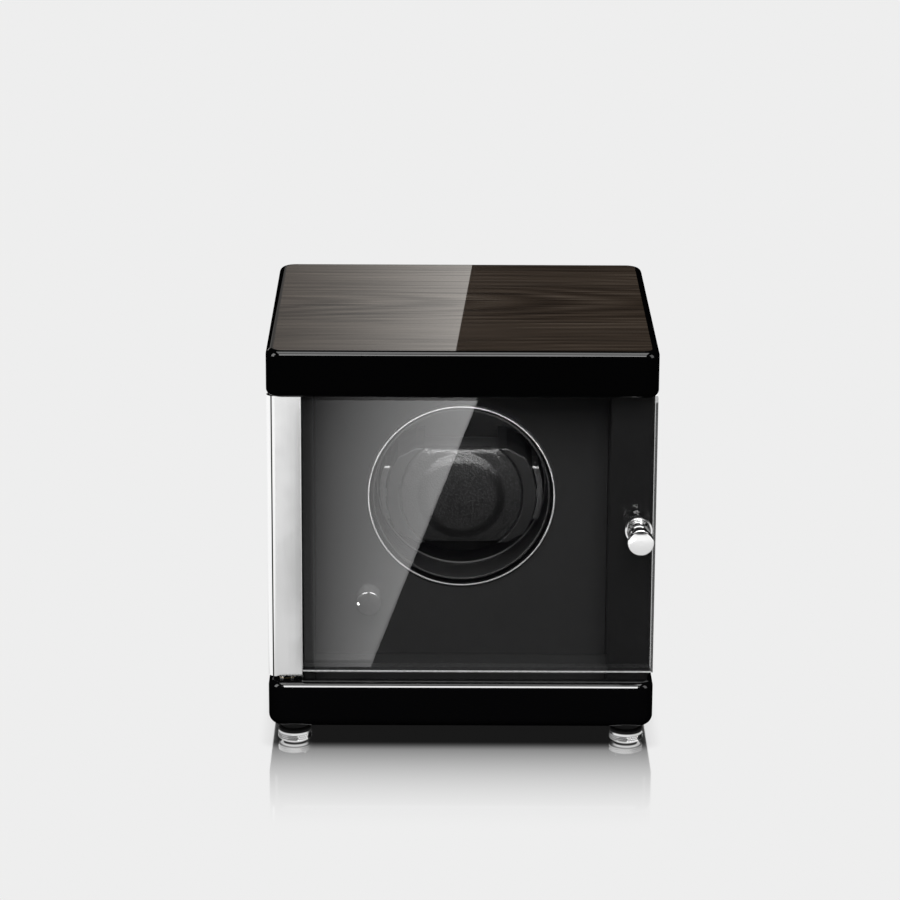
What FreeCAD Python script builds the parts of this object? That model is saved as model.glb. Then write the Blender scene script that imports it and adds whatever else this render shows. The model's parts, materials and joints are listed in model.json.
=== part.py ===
"""A watch winder box for one watch: a lacquered case on turned feet, a smoked-glass door on a pivot
profile, a covered fascia, and a geared rotor that turns a watch cushion.

Millimetres, +Z up, -Y towards the viewer. The origin is at the bottom centre of the whole object's box.
"""

import FreeCAD
import Part
import math
import os

Vector = FreeCAD.Vector

# Case
box_width = 180.0
box_depth = 174.0
foot_height = 10.0
slab_thickness = 22.0
carcass_height = 138.0
slab_corner_radius = 8.0
slab_edge_radius = 3.0
base_lower_edge_radius = 5.0
veneer_thickness = 0.6
veneer_border = 3.4
wall_thickness = 20.0
wall_side_inset = 1.0
wall_edge_radius = 1.5
wall_rear_inset = 1.5
rear_panel_thickness = 6.0
rear_panel_recess = 2.0
panel_clearance = 0.15
batten_width = 10.0
batten_end_gap = 6.0
dowel_radius = 3.0
dowel_depth = 10.0
dowel_end_inset = 28.0
slip_clearance = 0.05

# Feet
foot_inset = 12.0
foot_radius = 7.65
foot_neck_radius = 6.4
foot_neck_height = 2.6
foot_band_height = 3.4
foot_groove_height = 0.6
foot_groove_depth = 0.7
foot_tread_radius = 6.9
foot_bevel = 0.7
pad_radius = 5.4
pad_thickness = 1.2
pad_recess = 0.6

# Screws
foot_screw_radius = 1.9
foot_screw_head_radius = 3.6
foot_screw_head_height = 2.2
foot_screw_length = 19.0
small_screw_radius = 1.5
small_screw_head_radius = 2.7
small_screw_head_height = 1.8
small_screw_bite = 7.0
cross_recess_length = 3.2
cross_recess_width = 0.8
cross_recess_depth = 1.0

# Door
door_front_inset = 7.5
profile_width = 16.0
profile_flange = 1.5
profile_edge_radius = 0.5
profile_web = 0.7
profile_groove_inset = 2.3
profile_groove_width = 0.5
profile_groove_depth = 0.8
hinge_inset = 8.6
hinge_sweep_clearance = 0.6
hinge_gap = 1.0
hinge_pin_radius = 2.5
hinge_pin_grip = 12.0
hinge_pin_reach = 6.0
hinge_bush_wall = 1.5
hinge_washer_radius = 3.75
hinge_end_clearance = 0.1
running_clearance = 0.04
glass_thickness = 5.0
glass_bevel = 1.2
glass_lower_gap = 2.4
glass_upper_gap = 2.0
glass_fit = 0.1
door_rear_gap = 0.8
knob_side_inset = 8.0
knob_lift = 4.0
knob_length = 20.5
knob_head_radius = 6.15
knob_head_length = 3.6
knob_head_rounding = 0.8
knob_face_dome = 0.5
knob_neck_radius = 3.0
knob_collar_radius = 4.0
knob_rosette_radius = 6.3
knob_rosette_thickness = 1.0
knob_groove_radius = 4.9
knob_bead_count = 3
knob_bead_width = 1.6
knob_bead_radius = 5.6
knob_bead_taper = 0.2
knob_washer_thickness = 0.5
knob_screw_radius = 1.95
knob_screw_bite = 9.0
knob_screw_head_height = 1.6
strike_radius = 5.0
strike_thickness = 1.8
magnet_radius = 4.0
magnet_length = 6.0

# Fascia and rotor
recess_depth = 26.0
fascia_thickness = 6.0
rotor_lift = 10.3
drum_depth = 40.0
drum_wall = 1.2
drum_step = 1.4
drum_step_depth = 20.0
drum_floor = 3.0
drum_rim_setback = 0.3
drum_boss_radius = 9.0
drum_boss_length = 6.4
bezel_running_gap = 0.6
bezel_sleeve_wall = 0.8
bezel_flange_width = 1.6
bezel_flange_thickness = 2.0
bezel_bevel = 0.4
bezel_sleeve_length = 4.0

# Watch cushion
cushion_height = 46.6
cushion_end_radius = 29.0
cushion_depth = 30.0
cushion_front_stand = 2.0
cushion_front_rounding = 2.5
cushion_back_rounding = 10.0
cushion_waist_radius = 120.0
cushion_waist_depth = 0.9
cushion_crown_radius = 160.0
seat_radius = 20.5
seat_edge_width = 6.0
seat_edge_rise = 2.6
seat_dome_rise = 0.6
cushion_core_height = 18.0
cushion_core_depth = 12.0
cheek_width = 6.3
cheek_flange = 4.3
cheek_shoulder_angle = 28.7
cheek_setback = 1.2
cheek_rounding = 0.8
cushion_floor_gap = 0.3
rail_gap = 0.6
rail_thickness = 2.6
rail_wall_gap = 1.1
rail_height = 26.0
rail_setback = 4.0
key_width = 4.0
key_height = 1.8
key_setback = 5.0
key_clearance = 0.3

# Drive
rotor_shaft_radius = 4.0
shaft_overrun = 2.5
gear_module = 1.0
gear_teeth = 54
pinion_teeth = 18
gear_pressure_angle = 20.0
gear_root_depth = 1.25
gear_backlash = 0.14
gear_width = 6.0
gear_hub_radius = 9.0
gear_hub_length = 10.0
gear_web_thickness = 2.4
gear_rim_depth = 3.5
gear_web_holes = 6
gear_web_hole_radius = 4.0
pinion_extra_width = 1.0
axial_clearance = 0.3
bush_flange_radius = 7.5
bush_flange_thickness = 1.2
bush_wall = 2.0
bush_length = 6.5
housing_wall = 3.0
housing_length = 16.5
housing_front_stand = 0.5
housing_flange_radius = 16.5
housing_flange_thickness = 3.0
housing_screw_circle = 12.8
housing_screw_count = 3
clip_radius = 6.2
clip_thickness = 0.8
clip_groove_depth = 0.8
plate_thickness = 3.0
plate_corner_radius = 6.0
plate_margin = 6.0
plate_lower_reach = 20.0
standoff_radius = 3.5
standoff_clearance = 8.5
standoff_angle = 30.0
standoff_stud_radius = 2.0
standoff_stud_length = 4.0
output_shaft_radius = 2.0
output_shaft_engagement = 9.5
gearbox_radius = 16.0
gearbox_length = 17.0
gearbox_pilot_radius = 6.0
gearbox_pilot_height = 2.0
gearbox_edge_radius = 1.0
motor_screw_spread = 11.0
motor_radius = 12.0
motor_length = 18.0
motor_cap_radius = 10.0
motor_cap_length = 6.0
motor_outlet_width = 6.0
motor_outlet_drop = 2.0

# Controls and power
selector_side_inset = 25.4
selector_drop = 50.3
selector_radius = 6.3
selector_length = 12.0
selector_taper = 0.4
selector_rounding = 1.0
selector_dome = 0.5
selector_standoff = 0.4
selector_grip = 6.0
selector_groove_width = 1.2
selector_groove_depth = 0.6
switch_side = 14.0
switch_depth = 9.0
switch_bush_radius = 3.0
switch_shaft_radius = 2.0
switch_shaft_root = 4.5
switch_nut_across_flats = 8.0
switch_nut_thickness = 1.8
switch_nut_clearance = 0.4
board_thickness = 1.6
board_reach_left = 14.0
board_reach_right = 20.0
board_reach_up = 8.5
board_reach_down = 16.0
chip_length = 9.0
chip_width = 6.0
chip_height = 1.6
connector_inset = 8.0
connector_length = 8.0
connector_width = 6.0
connector_height = 7.0
capacitor_radius = 3.2
capacitor_height = 7.5
inlet_side_inset = 25.0
inlet_lift = 18.0
inlet_barrel_radius = 4.0
inlet_flange_radius = 5.5
inlet_flange_thickness = 1.5
inlet_tail = 6.0
inlet_bore_radius = 2.8
inlet_bore_depth = 9.0
inlet_pin_radius = 1.0
inlet_pin_setback = 1.0
inlet_nut_across_flats = 10.0
inlet_nut_thickness = 2.2
lead_radius = 1.6
lead_straight = 13.0
lead_lift = 7.0
lead_bend_share = 0.22

# Levels, sides and planes that follow from the sizes above
profile_depth = glass_thickness + 2 * profile_flange
knob_reach = knob_length + knob_washer_thickness - door_front_inset - profile_flange
front = -(box_depth - knob_reach) / 2
rear = front + box_depth
case_middle = (front + rear) / 2
side = box_width / 2
base_top = foot_height + slab_thickness
roof_bottom = base_top + carcass_height
roof_top = roof_bottom + slab_thickness
carcass_middle = (base_top + roof_bottom) / 2
inner_side = side - wall_side_inset - wall_thickness
profile_front = front + door_front_inset
profile_back = profile_front + profile_depth
profile_tip = -side + profile_width
glass_front = profile_front + profile_flange
glass_back = glass_front + glass_thickness
wall_front = profile_back + door_rear_gap
wall_rear = rear - wall_rear_inset
fascia_front = wall_front + recess_depth
fascia_back = fascia_front + fascia_thickness
panel_back = wall_rear - rear_panel_recess
panel_front = panel_back - rear_panel_thickness
hinge_x = -side + hinge_inset
hinge_y = (profile_front + profile_back) / 2
hinge_bush_radius = hinge_pin_radius + running_clearance + hinge_bush_wall
slot_end = hinge_x + hinge_pin_radius + profile_web
knob_x = side - knob_side_inset
knob_z = carcass_middle + knob_lift
rotor_z = carcass_middle + rotor_lift
cheek_radius = cushion_end_radius + cheek_width
rail_inner = cheek_radius + rail_gap
drum_stepped = rail_inner + rail_thickness + rail_wall_gap
drum_inner = drum_stepped + drum_step
drum_radius = drum_inner + drum_wall
drum_front = fascia_front + drum_rim_setback
drum_back = drum_front + drum_depth
drum_inner_floor = drum_back - drum_floor
boss_back = drum_back + drum_boss_length
gear_back = boss_back + gear_hub_length
bush_front = gear_back + axial_clearance
bush_radius = rotor_shaft_radius + running_clearance + bush_wall
housing_front = bush_front + bush_flange_thickness
housing_back = housing_front + housing_length
housing_radius = bush_radius + housing_wall
plate_front = housing_front + housing_front_stand
plate_back = plate_front + plate_thickness
clip_front = housing_back + bush_flange_thickness + axial_clearance
shaft_end = clip_front + clip_thickness + shaft_overrun
gear_pitch_radius = gear_module * gear_teeth / 2
pinion_pitch_radius = gear_module * pinion_teeth / 2
motor_z = rotor_z - gear_pitch_radius - pinion_pitch_radius
gear_rim_front = boss_back + (gear_hub_length - gear_width) / 2
gear_rim_back = gear_rim_front + gear_width
pinion_front = gear_rim_front - pinion_extra_width / 2
pinion_back = gear_rim_back + pinion_extra_width / 2
gearbox_back = plate_back + gearbox_length
motor_back = gearbox_back + motor_length
motor_cap_back = motor_back + motor_cap_length
bezel_inner = drum_radius + bezel_running_gap
bezel_sleeve = bezel_inner + bezel_sleeve_wall
bezel_outer = bezel_inner + bezel_flange_width
standoff_circle = drum_radius + standoff_clearance + standoff_radius
cushion_front = fascia_front - cushion_front_stand
cushion_back = cushion_front + cushion_depth
cushion_half = cushion_height / 2
cheek_front = cushion_front + cheek_setback
cheek_back = drum_inner_floor - cushion_floor_gap
rail_front = drum_front + rail_setback
selector_x = -(inner_side - selector_side_inset)
selector_z = rotor_z - selector_drop
selector_back = fascia_front - selector_standoff
board_front = fascia_back + switch_depth
board_back = board_front + board_thickness
socket_face = board_back + connector_height
inlet_x = -(inner_side - inlet_side_inset)
inlet_z = base_top + inlet_lift
inlet_back = panel_front - inlet_tail
inlet_face = panel_back + inlet_flange_thickness
lead_floor = base_top + lead_radius + slip_clearance
OVERCUT = 1.0


# Basic shapes

def block(x0, x1, y0, y1, z0, z1):
    """A box between two corners."""
    return Part.makeBox(x1 - x0, y1 - y0, z1 - z0, Vector(x0, y0, z0))


def rod_y(radius, x, z, y0, y1):
    """A cylinder along Y, given either end first."""
    return Part.makeCylinder(radius, abs(y1 - y0), Vector(x, min(y0, y1), z), Vector(0, 1, 0))


def rod_z(radius, x, y, z0, z1):
    """An upright cylinder, given either end first."""
    return Part.makeCylinder(radius, abs(z1 - z0), Vector(x, y, min(z0, z1)))


def hole_y(radius, x, z, y0, y1):
    """A cutting rod along Y that runs past both faces of what it goes through."""
    return rod_y(radius, x, z, min(y0, y1) - OVERCUT, max(y0, y1) + OVERCUT)


def tube_y(outer, inner, x, z, y0, y1):
    """A plain ring along Y."""
    return rod_y(outer, x, z, y0, y1).cut(hole_y(inner, x, z, y0, y1))


def outline(profile, place):
    """A closed face through (along, radius) corners. An entry of four numbers gives the middle of an arc
    and then the corner that the arc ends at."""
    corners = [place(*entry[-2:]) for entry in profile]
    edges = []
    for index, entry in enumerate(profile):
        start, end = corners[index - 1], corners[index]
        if len(entry) == 4:
            edges.append(Part.Arc(start, place(*entry[:2]), end).toShape())
        else:
            edges.append(Part.LineSegment(start, end).toShape())
    return Part.Face(Part.Wire(edges))


def turned_y(profile, x, z):
    """A turned piece about an axis along Y."""
    face = outline(profile, lambda along, radius: Vector(x + radius, along, z))
    return face.revolve(Vector(x, 0, z), Vector(0, 1, 0), 360)


def dome(rim, face, radius):
    """The last arc of a turned outline: a round dome from its rim to the middle of its face."""
    rise = rim - face
    ball = (radius ** 2 + rise ** 2) / (2 * rise)
    half_turn = math.asin(radius / ball) / 2
    return face + ball * (1 - math.cos(half_turn)), ball * math.sin(half_turn), face, 0


def turned_z(profile, x, y):
    """A turned piece about an upright axis."""
    face = outline(profile, lambda along, radius: Vector(x + radius, y, along))
    return face.revolve(Vector(x, y, 0), Vector(0, 0, 1), 360)


def polygon_y(points, y0, y1):
    """A prism along Y on an outline of (x, z) corners."""
    corners = [Vector(x, y0, z) for x, z in points]
    return Part.Face(Part.makePolygon(corners + corners[:1])).extrude(Vector(0, y1 - y0, 0))


def hexagon_y(across_flats, x, z, y0, y1):
    """A hexagonal nut blank along Y."""
    corner = across_flats / math.sqrt(3)
    angles = [math.radians(60 * step) for step in range(6)]
    return polygon_y([(x + corner * math.cos(a), z + corner * math.sin(a)) for a in angles], y0, y1)


def rounded_plan(width, depth, radius, z):
    """A level rectangle with rounded corners, centred on the case."""
    x, y = width / 2, depth / 2
    turn = radius * (1 - math.sqrt(0.5))
    profile = []
    for sx, sy in ((1, 1), (-1, 1), (-1, -1), (1, -1)):
        on_side = (sx * x, sy * (y - radius))
        on_end = (sx * (x - radius), sy * y)
        first, last = (on_side, on_end) if sx == sy else (on_end, on_side)
        profile.append(first)
        profile.append((sx * (x - turn), sy * (y - turn), *last))
    return outline(profile, lambda px, py: Vector(px, case_middle + py, z))


def level_edges(shape, z):
    """The edges of a shape that lie in one level plane."""
    near = 1e-4
    return [e for e in shape.Edges if abs(e.BoundBox.ZMin - z) < near and abs(e.BoundBox.ZMax - z) < near]


def cross_edges(shape, y):
    """The edges of a shape that lie in one plane square to Y."""
    near = 1e-4
    return [e for e in shape.Edges if abs(e.BoundBox.YMin - y) < near and abs(e.BoundBox.YMax - y) < near]


def mirrored_x(shape):
    """The same shape on the other side of the case."""
    return shape.mirror(Vector(0, 0, 0), Vector(1, 0, 0))


def both_sides(shape):
    return [shape, mirrored_x(shape)]


def cap_screw(x, z, y_head, y_seat, y_tip):
    """A small round-headed screw along Y: its head lies between y_head and y_seat."""
    shank = rod_y(small_screw_radius, x, z, y_seat, y_tip)
    head = rod_y(small_screw_head_radius, x, z, y_head, y_seat)
    return head.fuse(shank).removeSplitter()


def screw_hole(x, z, y0, y1):
    """A clear hole for a small screw, as long as given and no longer."""
    return rod_y(small_screw_radius + slip_clearance, x, z, y0, y1)


def lead(points):
    """A round lead along straight runs, joined by arcs as large as the runs allow."""
    arc_share = 0.45
    points = [Vector(*p) for p in points]
    edges = []
    begin = points[0]
    for before, corner, after in zip(points, points[1:], points[2:]):
        into = (corner - before).normalize()
        out = (after - corner).normalize()
        turn = into.getAngle(out)
        trim = arc_share * min((corner - before).Length, (after - corner).Length)
        radius = trim / math.tan(turn / 2)
        first, last = corner - into * trim, corner + out * trim
        inward = (out - into).normalize()
        middle = corner + inward * (radius / math.cos(turn / 2) - radius)
        edges.append(Part.LineSegment(begin, first).toShape())
        edges.append(Part.Arc(first, middle, last).toShape())
        begin = last
    edges.append(Part.LineSegment(begin, points[-1]).toShape())
    heading = (points[1] - points[0]).normalize()
    section = Part.Wire([Part.Circle(points[0], heading, lead_radius).toShape()])
    return Part.Wire(edges).makePipeShell([section], True, False)


# Case

def foot_places():
    """Each foot's name and place in plan."""
    x, y = side - foot_inset, box_depth / 2 - foot_inset
    for row, sy in (("front", -1), ("rear", 1)):
        for hand, sx in (("left", -1), ("right", 1)):
            yield f"foot_{row}_{hand}", sx * x, case_middle + sy * y


def dowel_places():
    """Where the wall dowels stand in plan, two to a wall end."""
    x = inner_side + wall_thickness / 2
    for sx in (-1, 1):
        for y in (wall_front + dowel_end_inset, wall_rear - dowel_end_inset):
            yield sx * x, y


def dowel_holes(level):
    """Holes for the dowels that cross one joint, half in each board."""
    reach = dowel_depth + slip_clearance
    radius = dowel_radius + slip_clearance
    return [rod_z(radius, x, y, level - reach, level + reach) for x, y in dowel_places()]


def carcass_dowels():
    dowels = []
    for level in (base_top, roof_bottom):
        for x, y in dowel_places():
            dowels.append(rod_z(dowel_radius, x, y, level - dowel_depth, level + dowel_depth))
    return dowels


def slab(z0, lower_radius, upper_radius):
    """A lacquered board with rounded corners and softly rounded edges."""
    body = rounded_plan(box_width, box_depth, slab_corner_radius, z0)
    body = body.extrude(Vector(0, 0, slab_thickness))
    body = body.makeFillet(upper_radius, level_edges(body, z0 + slab_thickness))
    return body.makeFillet(lower_radius, level_edges(body, z0))


def hinge_seat(level, direction):
    """The hole in a slab that takes a hinge bush."""
    depth = direction * (hinge_pin_reach + slip_clearance)
    return rod_z(hinge_bush_radius + slip_clearance, hinge_x, hinge_y, level, level + depth)


def foot_screw_top():
    return pad_thickness + foot_screw_length


def base_slab():
    body = slab(foot_height, base_lower_edge_radius, slab_edge_radius)
    tools = dowel_holes(base_top)
    tools.append(hinge_seat(base_top, -1))
    hole = foot_screw_radius + slip_clearance
    for _, x, y in foot_places():
        tools.append(rod_z(hole, x, y, foot_height - OVERCUT, foot_screw_top() + slip_clearance))
    return body.cut(tools)


def veneer_plan(clearance):
    """The inlay's outline at its underside, or its pocket's with a clearance."""
    border = veneer_border - clearance
    radius = max(slab_corner_radius - border, slab_edge_radius / 2)
    width, depth = box_width - 2 * border, box_depth - 2 * border
    return rounded_plan(width, depth, radius, roof_top - veneer_thickness)


def top_slab():
    body = slab(roof_bottom, slab_edge_radius, slab_edge_radius)
    pocket = veneer_plan(slip_clearance).extrude(Vector(0, 0, veneer_thickness + OVERCUT))
    return body.cut([*dowel_holes(roof_bottom), hinge_seat(roof_bottom, 1), pocket])


def veneer_inlay():
    return veneer_plan(0).extrude(Vector(0, 0, veneer_thickness))


def side_wall():
    """The right wall, with its dowel holes and its outer edges eased."""
    outer = inner_side + wall_thickness
    body = block(inner_side, outer, wall_front, wall_rear, base_top, roof_bottom)
    upright = [e for e in body.Edges if e.BoundBox.ZLength > 1 and e.BoundBox.XMin > inner_side + 1]
    body = body.makeFillet(wall_edge_radius, upright)
    return body.cut(dowel_holes(base_top) + dowel_holes(roof_bottom))


def left_wall():
    """The wall beside the hinge, with a cove in its front edge that the turning profile sweeps."""
    sweep = hinge_inset + hinge_sweep_clearance
    return mirrored_x(side_wall()).cut(rod_z(sweep, hinge_x, hinge_y, base_top, roof_bottom))


def right_wall():
    seat = magnet_radius + slip_clearance
    return side_wall().cut(rod_y(seat, knob_x, knob_z, wall_front - OVERCUT, wall_front + magnet_length))


def batten(y0, y1):
    """The right one of a pair of glued corner strips."""
    z0, z1 = base_top + batten_end_gap, roof_bottom - batten_end_gap
    return block(inner_side - batten_width, inner_side, y0, y1, z0, z1)


def rear_screw_places():
    """Where the rear panel is screwed to its battens."""
    x = inner_side - batten_width / 2
    inset = batten_end_gap + batten_width
    for z in (base_top + inset, roof_bottom - inset):
        for sx in (-1, 1):
            yield sx * x, z


def rear_battens():
    tip = panel_front - small_screw_bite - slip_clearance
    tools = [screw_hole(x, z, tip, panel_front + OVERCUT) for x, z in rear_screw_places()]
    return [strip.cut(tools) for strip in both_sides(batten(panel_front - batten_width, panel_front))]


def rear_panel():
    """The removable back, with its screw heads let in and a hole for the power inlet."""
    x = inner_side - panel_clearance
    z0, z1 = base_top + panel_clearance, roof_bottom - panel_clearance
    body = block(-x, x, panel_front, panel_back, z0, z1)
    tools = [hole_y(inlet_barrel_radius + slip_clearance, inlet_x, inlet_z, panel_front, panel_back)]
    seat = panel_back - small_screw_head_height
    for x, z in rear_screw_places():
        tools.append(screw_hole(x, z, panel_front - OVERCUT, panel_back + OVERCUT))
        tools.append(rod_y(small_screw_head_radius + slip_clearance, x, z, seat, panel_back + OVERCUT))
    return body.cut(tools)


def rear_panel_screws():
    """Round-headed screws, each with a cross recess for a screwdriver."""
    seat = panel_back - small_screw_head_height
    tip = panel_front - small_screw_bite
    long, short = cross_recess_length / 2, cross_recess_width / 2
    y0, y1 = panel_back - cross_recess_depth, panel_back + OVERCUT
    screws = []
    for x, z in rear_screw_places():
        level = block(x - long, x + long, y0, y1, z - short, z + short)
        upright = block(x - short, x + short, y0, y1, z - long, z + long)
        screws.append(cap_screw(x, z, panel_back, seat, tip).cut([level, upright]))
    return screws


def foot(x, y):
    """A turned foot: neck, band between bevels, groove and tread, hollowed for its pad and screw."""
    band_top = foot_height - foot_neck_height
    band_low = band_top - foot_bevel - foot_band_height
    groove_low = band_low - foot_groove_height
    tread_low = pad_thickness - pad_recess
    groove_radius = foot_tread_radius - foot_groove_depth
    head_top = pad_thickness + foot_screw_head_height
    shank_hole = foot_screw_radius + slip_clearance
    head_hole = foot_screw_head_radius + slip_clearance
    pad_hole = pad_radius + slip_clearance
    profile = [
        (foot_height, shank_hole), (foot_height, foot_neck_radius), (band_top, foot_neck_radius),
        (band_top, foot_radius - foot_bevel), (band_top - foot_bevel, foot_radius),
        (band_low, foot_radius), (band_low, groove_radius), (groove_low, groove_radius),
        (groove_low, foot_tread_radius), (tread_low + foot_bevel, foot_tread_radius),
        (tread_low, foot_tread_radius - foot_bevel), (tread_low, pad_hole), (pad_thickness, pad_hole),
        (pad_thickness, head_hole), (head_top, head_hole), (head_top, shank_hole),
    ]
    return turned_z(profile, x, y)


def foot_pads():
    return [rod_z(pad_radius, x, y, 0, pad_thickness) for _, x, y in foot_places()]


def foot_screws():
    screws = []
    for _, x, y in foot_places():
        head = rod_z(foot_screw_head_radius, x, y, pad_thickness, pad_thickness + foot_screw_head_height)
        shank = rod_z(foot_screw_radius, x, y, pad_thickness, foot_screw_top())
        screws.append(head.fuse(shank).removeSplitter())
    return screws


# Door

def hinge_ring(outer, z0, z1):
    """A ring round a hinge pin, with room for the pin to turn."""
    bore = rod_z(hinge_pin_radius + running_clearance, hinge_x, hinge_y, z0, z1)
    return rod_z(outer, hinge_x, hinge_y, z0, z1).cut(bore)


def hinge_bushes():
    lower = hinge_ring(hinge_bush_radius, base_top - hinge_pin_reach, base_top)
    return [lower, hinge_ring(hinge_bush_radius, roof_bottom, roof_bottom + hinge_pin_reach)]


def hinge_washers():
    thickness = hinge_gap - hinge_end_clearance
    lower = hinge_ring(hinge_washer_radius, base_top, base_top + thickness)
    return [lower, hinge_ring(hinge_washer_radius, roof_bottom - thickness, roof_bottom)]


def hinge_pins():
    """Pins gripped by the profile's ends and turning in the slabs' bushes."""
    reach = hinge_pin_reach - hinge_end_clearance
    grip = hinge_gap + hinge_pin_grip
    lower = rod_z(hinge_pin_radius, hinge_x, hinge_y, base_top - reach, base_top + grip)
    return [lower, rod_z(hinge_pin_radius, hinge_x, hinge_y, roof_bottom - grip, roof_bottom + reach)]


def hinge_profile():
    """The door's pivot profile: a half-round outer edge, a shadow groove and a slot for the glass."""
    ease = profile_edge_radius
    turn = ease * (1 - math.sqrt(0.5))
    nose_middle = -side + profile_depth / 2
    section = [
        (nose_middle, profile_back),
        (-side, hinge_y, nose_middle, profile_front),
        (profile_tip - ease, profile_front),
        (profile_tip - turn, profile_front + turn, profile_tip, profile_front + ease),
        (profile_tip, glass_front), (slot_end, glass_front), (slot_end, glass_back),
        (profile_tip, glass_back), (profile_tip, profile_back - ease),
        (profile_tip - turn, profile_back - turn, profile_tip - ease, profile_back),
    ]
    z0, z1 = base_top + hinge_gap, roof_bottom - hinge_gap
    body = outline(section, lambda x, y: Vector(x, y, z0)).extrude(Vector(0, 0, z1 - z0))
    hole = hinge_pin_radius + slip_clearance
    grip = hinge_pin_grip + slip_clearance
    tools = [rod_z(hole, hinge_x, hinge_y, z0 - OVERCUT, z0 + grip)]
    tools.append(rod_z(hole, hinge_x, hinge_y, z1 - grip, z1 + OVERCUT))
    groove = -side + profile_groove_inset
    depth = profile_front + profile_groove_depth
    tools.append(block(groove - profile_groove_width / 2, groove + profile_groove_width / 2,
                       profile_front - OVERCUT, depth, z0 - OVERCUT, z1 + OVERCUT))
    return body.cut(tools)


def door_glass():
    """The smoked pane, with its free front edges bevelled and a hole for the knob's screw."""
    left = slot_end + glass_fit
    z0, z1 = base_top + glass_lower_gap, roof_bottom - glass_upper_gap
    pane = block(left, side, glass_front, glass_back, z0, z1)
    rim = [e for e in cross_edges(pane, glass_front) if e.BoundBox.XMax > left + glass_bevel]
    pane = pane.makeChamfer(glass_bevel, rim)
    return pane.cut(hole_y(knob_screw_radius + glass_fit, knob_x, knob_z, glass_front, glass_back))


def door_knob():
    """A turned knob: beaded foot, waisted neck and a head with a faintly domed face."""
    foot_y = glass_front - knob_washer_thickness
    face = foot_y - knob_length
    rosette = foot_y - knob_rosette_thickness
    neck = rosette - knob_bead_count * knob_bead_width
    head = face + knob_head_length
    ease = knob_head_rounding
    thread = foot_y - knob_screw_bite
    hole = knob_screw_radius + slip_clearance
    rim = face + knob_face_dome
    domed_radius = knob_head_radius - ease
    beads = []
    for index in range(knob_bead_count):
        start = rosette - index * knob_bead_width
        crest = knob_bead_radius - index * knob_bead_taper
        beads.append((start - knob_bead_width / 2, crest, start - knob_bead_width, knob_groove_radius))
    profile = [
        (thread, 0), (thread, hole), (foot_y, hole), (foot_y, knob_rosette_radius),
        (rosette, knob_rosette_radius), (rosette, knob_groove_radius), *beads,
        (neck, knob_collar_radius),
        ((neck + head) / 2, knob_neck_radius, head, knob_collar_radius),
        (head - ease, knob_head_radius), (rim + ease, knob_head_radius),
        (rim + ease / 3, knob_head_radius - ease / 3, rim, domed_radius),
        dome(rim, face, domed_radius),
    ]
    return turned_y(profile, knob_x, knob_z)


def knob_washer():
    y0 = glass_front - knob_washer_thickness
    return tube_y(knob_rosette_radius, knob_screw_radius + glass_fit, knob_x, knob_z, y0, glass_front)


def strike_plate():
    """The steel disc behind the glass that the magnet holds, countersunk for the knob's screw."""
    back = glass_back + strike_thickness
    seat = back - knob_screw_head_height
    hole = knob_screw_radius + glass_fit
    head = hole + knob_screw_head_height
    profile = [
        (glass_back, hole), (glass_back, strike_radius), (back, strike_radius), (back, head), (seat, hole),
    ]
    return turned_y(profile, knob_x, knob_z)


def knob_screw():
    back = glass_back + strike_thickness
    seat = back - knob_screw_head_height
    tip = glass_front - knob_washer_thickness - knob_screw_bite + slip_clearance
    head = knob_screw_radius + knob_screw_head_height
    profile = [(tip, 0), (tip, knob_screw_radius), (seat, knob_screw_radius), (back, head), (back, 0)]
    return turned_y(profile, knob_x, knob_z)


def catch_magnet():
    return rod_y(magnet_radius, knob_x, knob_z, wall_front, wall_front + magnet_length)


# Fascia and rotor

def standoff_places():
    """The four posts that carry the mechanism plate, clear of the drum."""
    angle = math.radians(standoff_angle)
    dx, dz = standoff_circle * math.cos(angle), standoff_circle * math.sin(angle)
    return [(sx * dx, rotor_z + sz * dz) for sz in (-1, 1) for sx in (-1, 1)]


def fascia():
    """The covered board behind the glass, with holes for the rotor, the switch and the posts' studs."""
    x = inner_side - panel_clearance
    z0, z1 = base_top + panel_clearance, roof_bottom - panel_clearance
    body = block(-x, x, fascia_front, fascia_back, z0, z1)
    tools = [hole_y(bezel_sleeve + slip_clearance, 0, rotor_z, fascia_front, fascia_back)]
    switch_hole = switch_bush_radius + slip_clearance
    tools.append(hole_y(switch_hole, selector_x, selector_z, fascia_front, fascia_back))
    depth = fascia_back - standoff_stud_length - slip_clearance
    for x, z in standoff_places():
        tools.append(rod_y(standoff_stud_radius + slip_clearance, x, z, depth, fascia_back + OVERCUT))
    return body.cut(tools)


def bezel_ring():
    """The bright trim ring: a bevelled flange on the fascia and a sleeve in its hole."""
    face = fascia_front - bezel_flange_thickness
    sleeve_end = fascia_front + bezel_sleeve_length
    profile = [
        (sleeve_end, bezel_inner), (sleeve_end, bezel_sleeve), (fascia_front, bezel_sleeve),
        (fascia_front, bezel_outer), (face + bezel_bevel, bezel_outer), (face, bezel_outer - bezel_bevel),
        (face, bezel_inner + bezel_bevel), (face + bezel_bevel, bezel_inner),
    ]
    return turned_y(profile, 0, rotor_z)


def rail():
    """The right guide rail in the drum, with the key that the cushion's cheek slides on."""
    half = rail_height / 2
    wall = tube_y(rail_inner + rail_thickness, rail_inner, 0, rotor_z, rail_front, drum_inner_floor)
    wall = wall.common(block(0, drum_radius, rail_front, drum_inner_floor, rotor_z - half, rotor_z + half))
    key_front = cheek_front + key_setback
    middle = rail_inner + rail_thickness / 2
    key_inner = cheek_radius - key_height
    half_key = key_width / 2
    key = block(key_inner, middle, key_front, drum_inner_floor, rotor_z - half_key, rotor_z + half_key)
    return wall.fuse(key)


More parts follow.
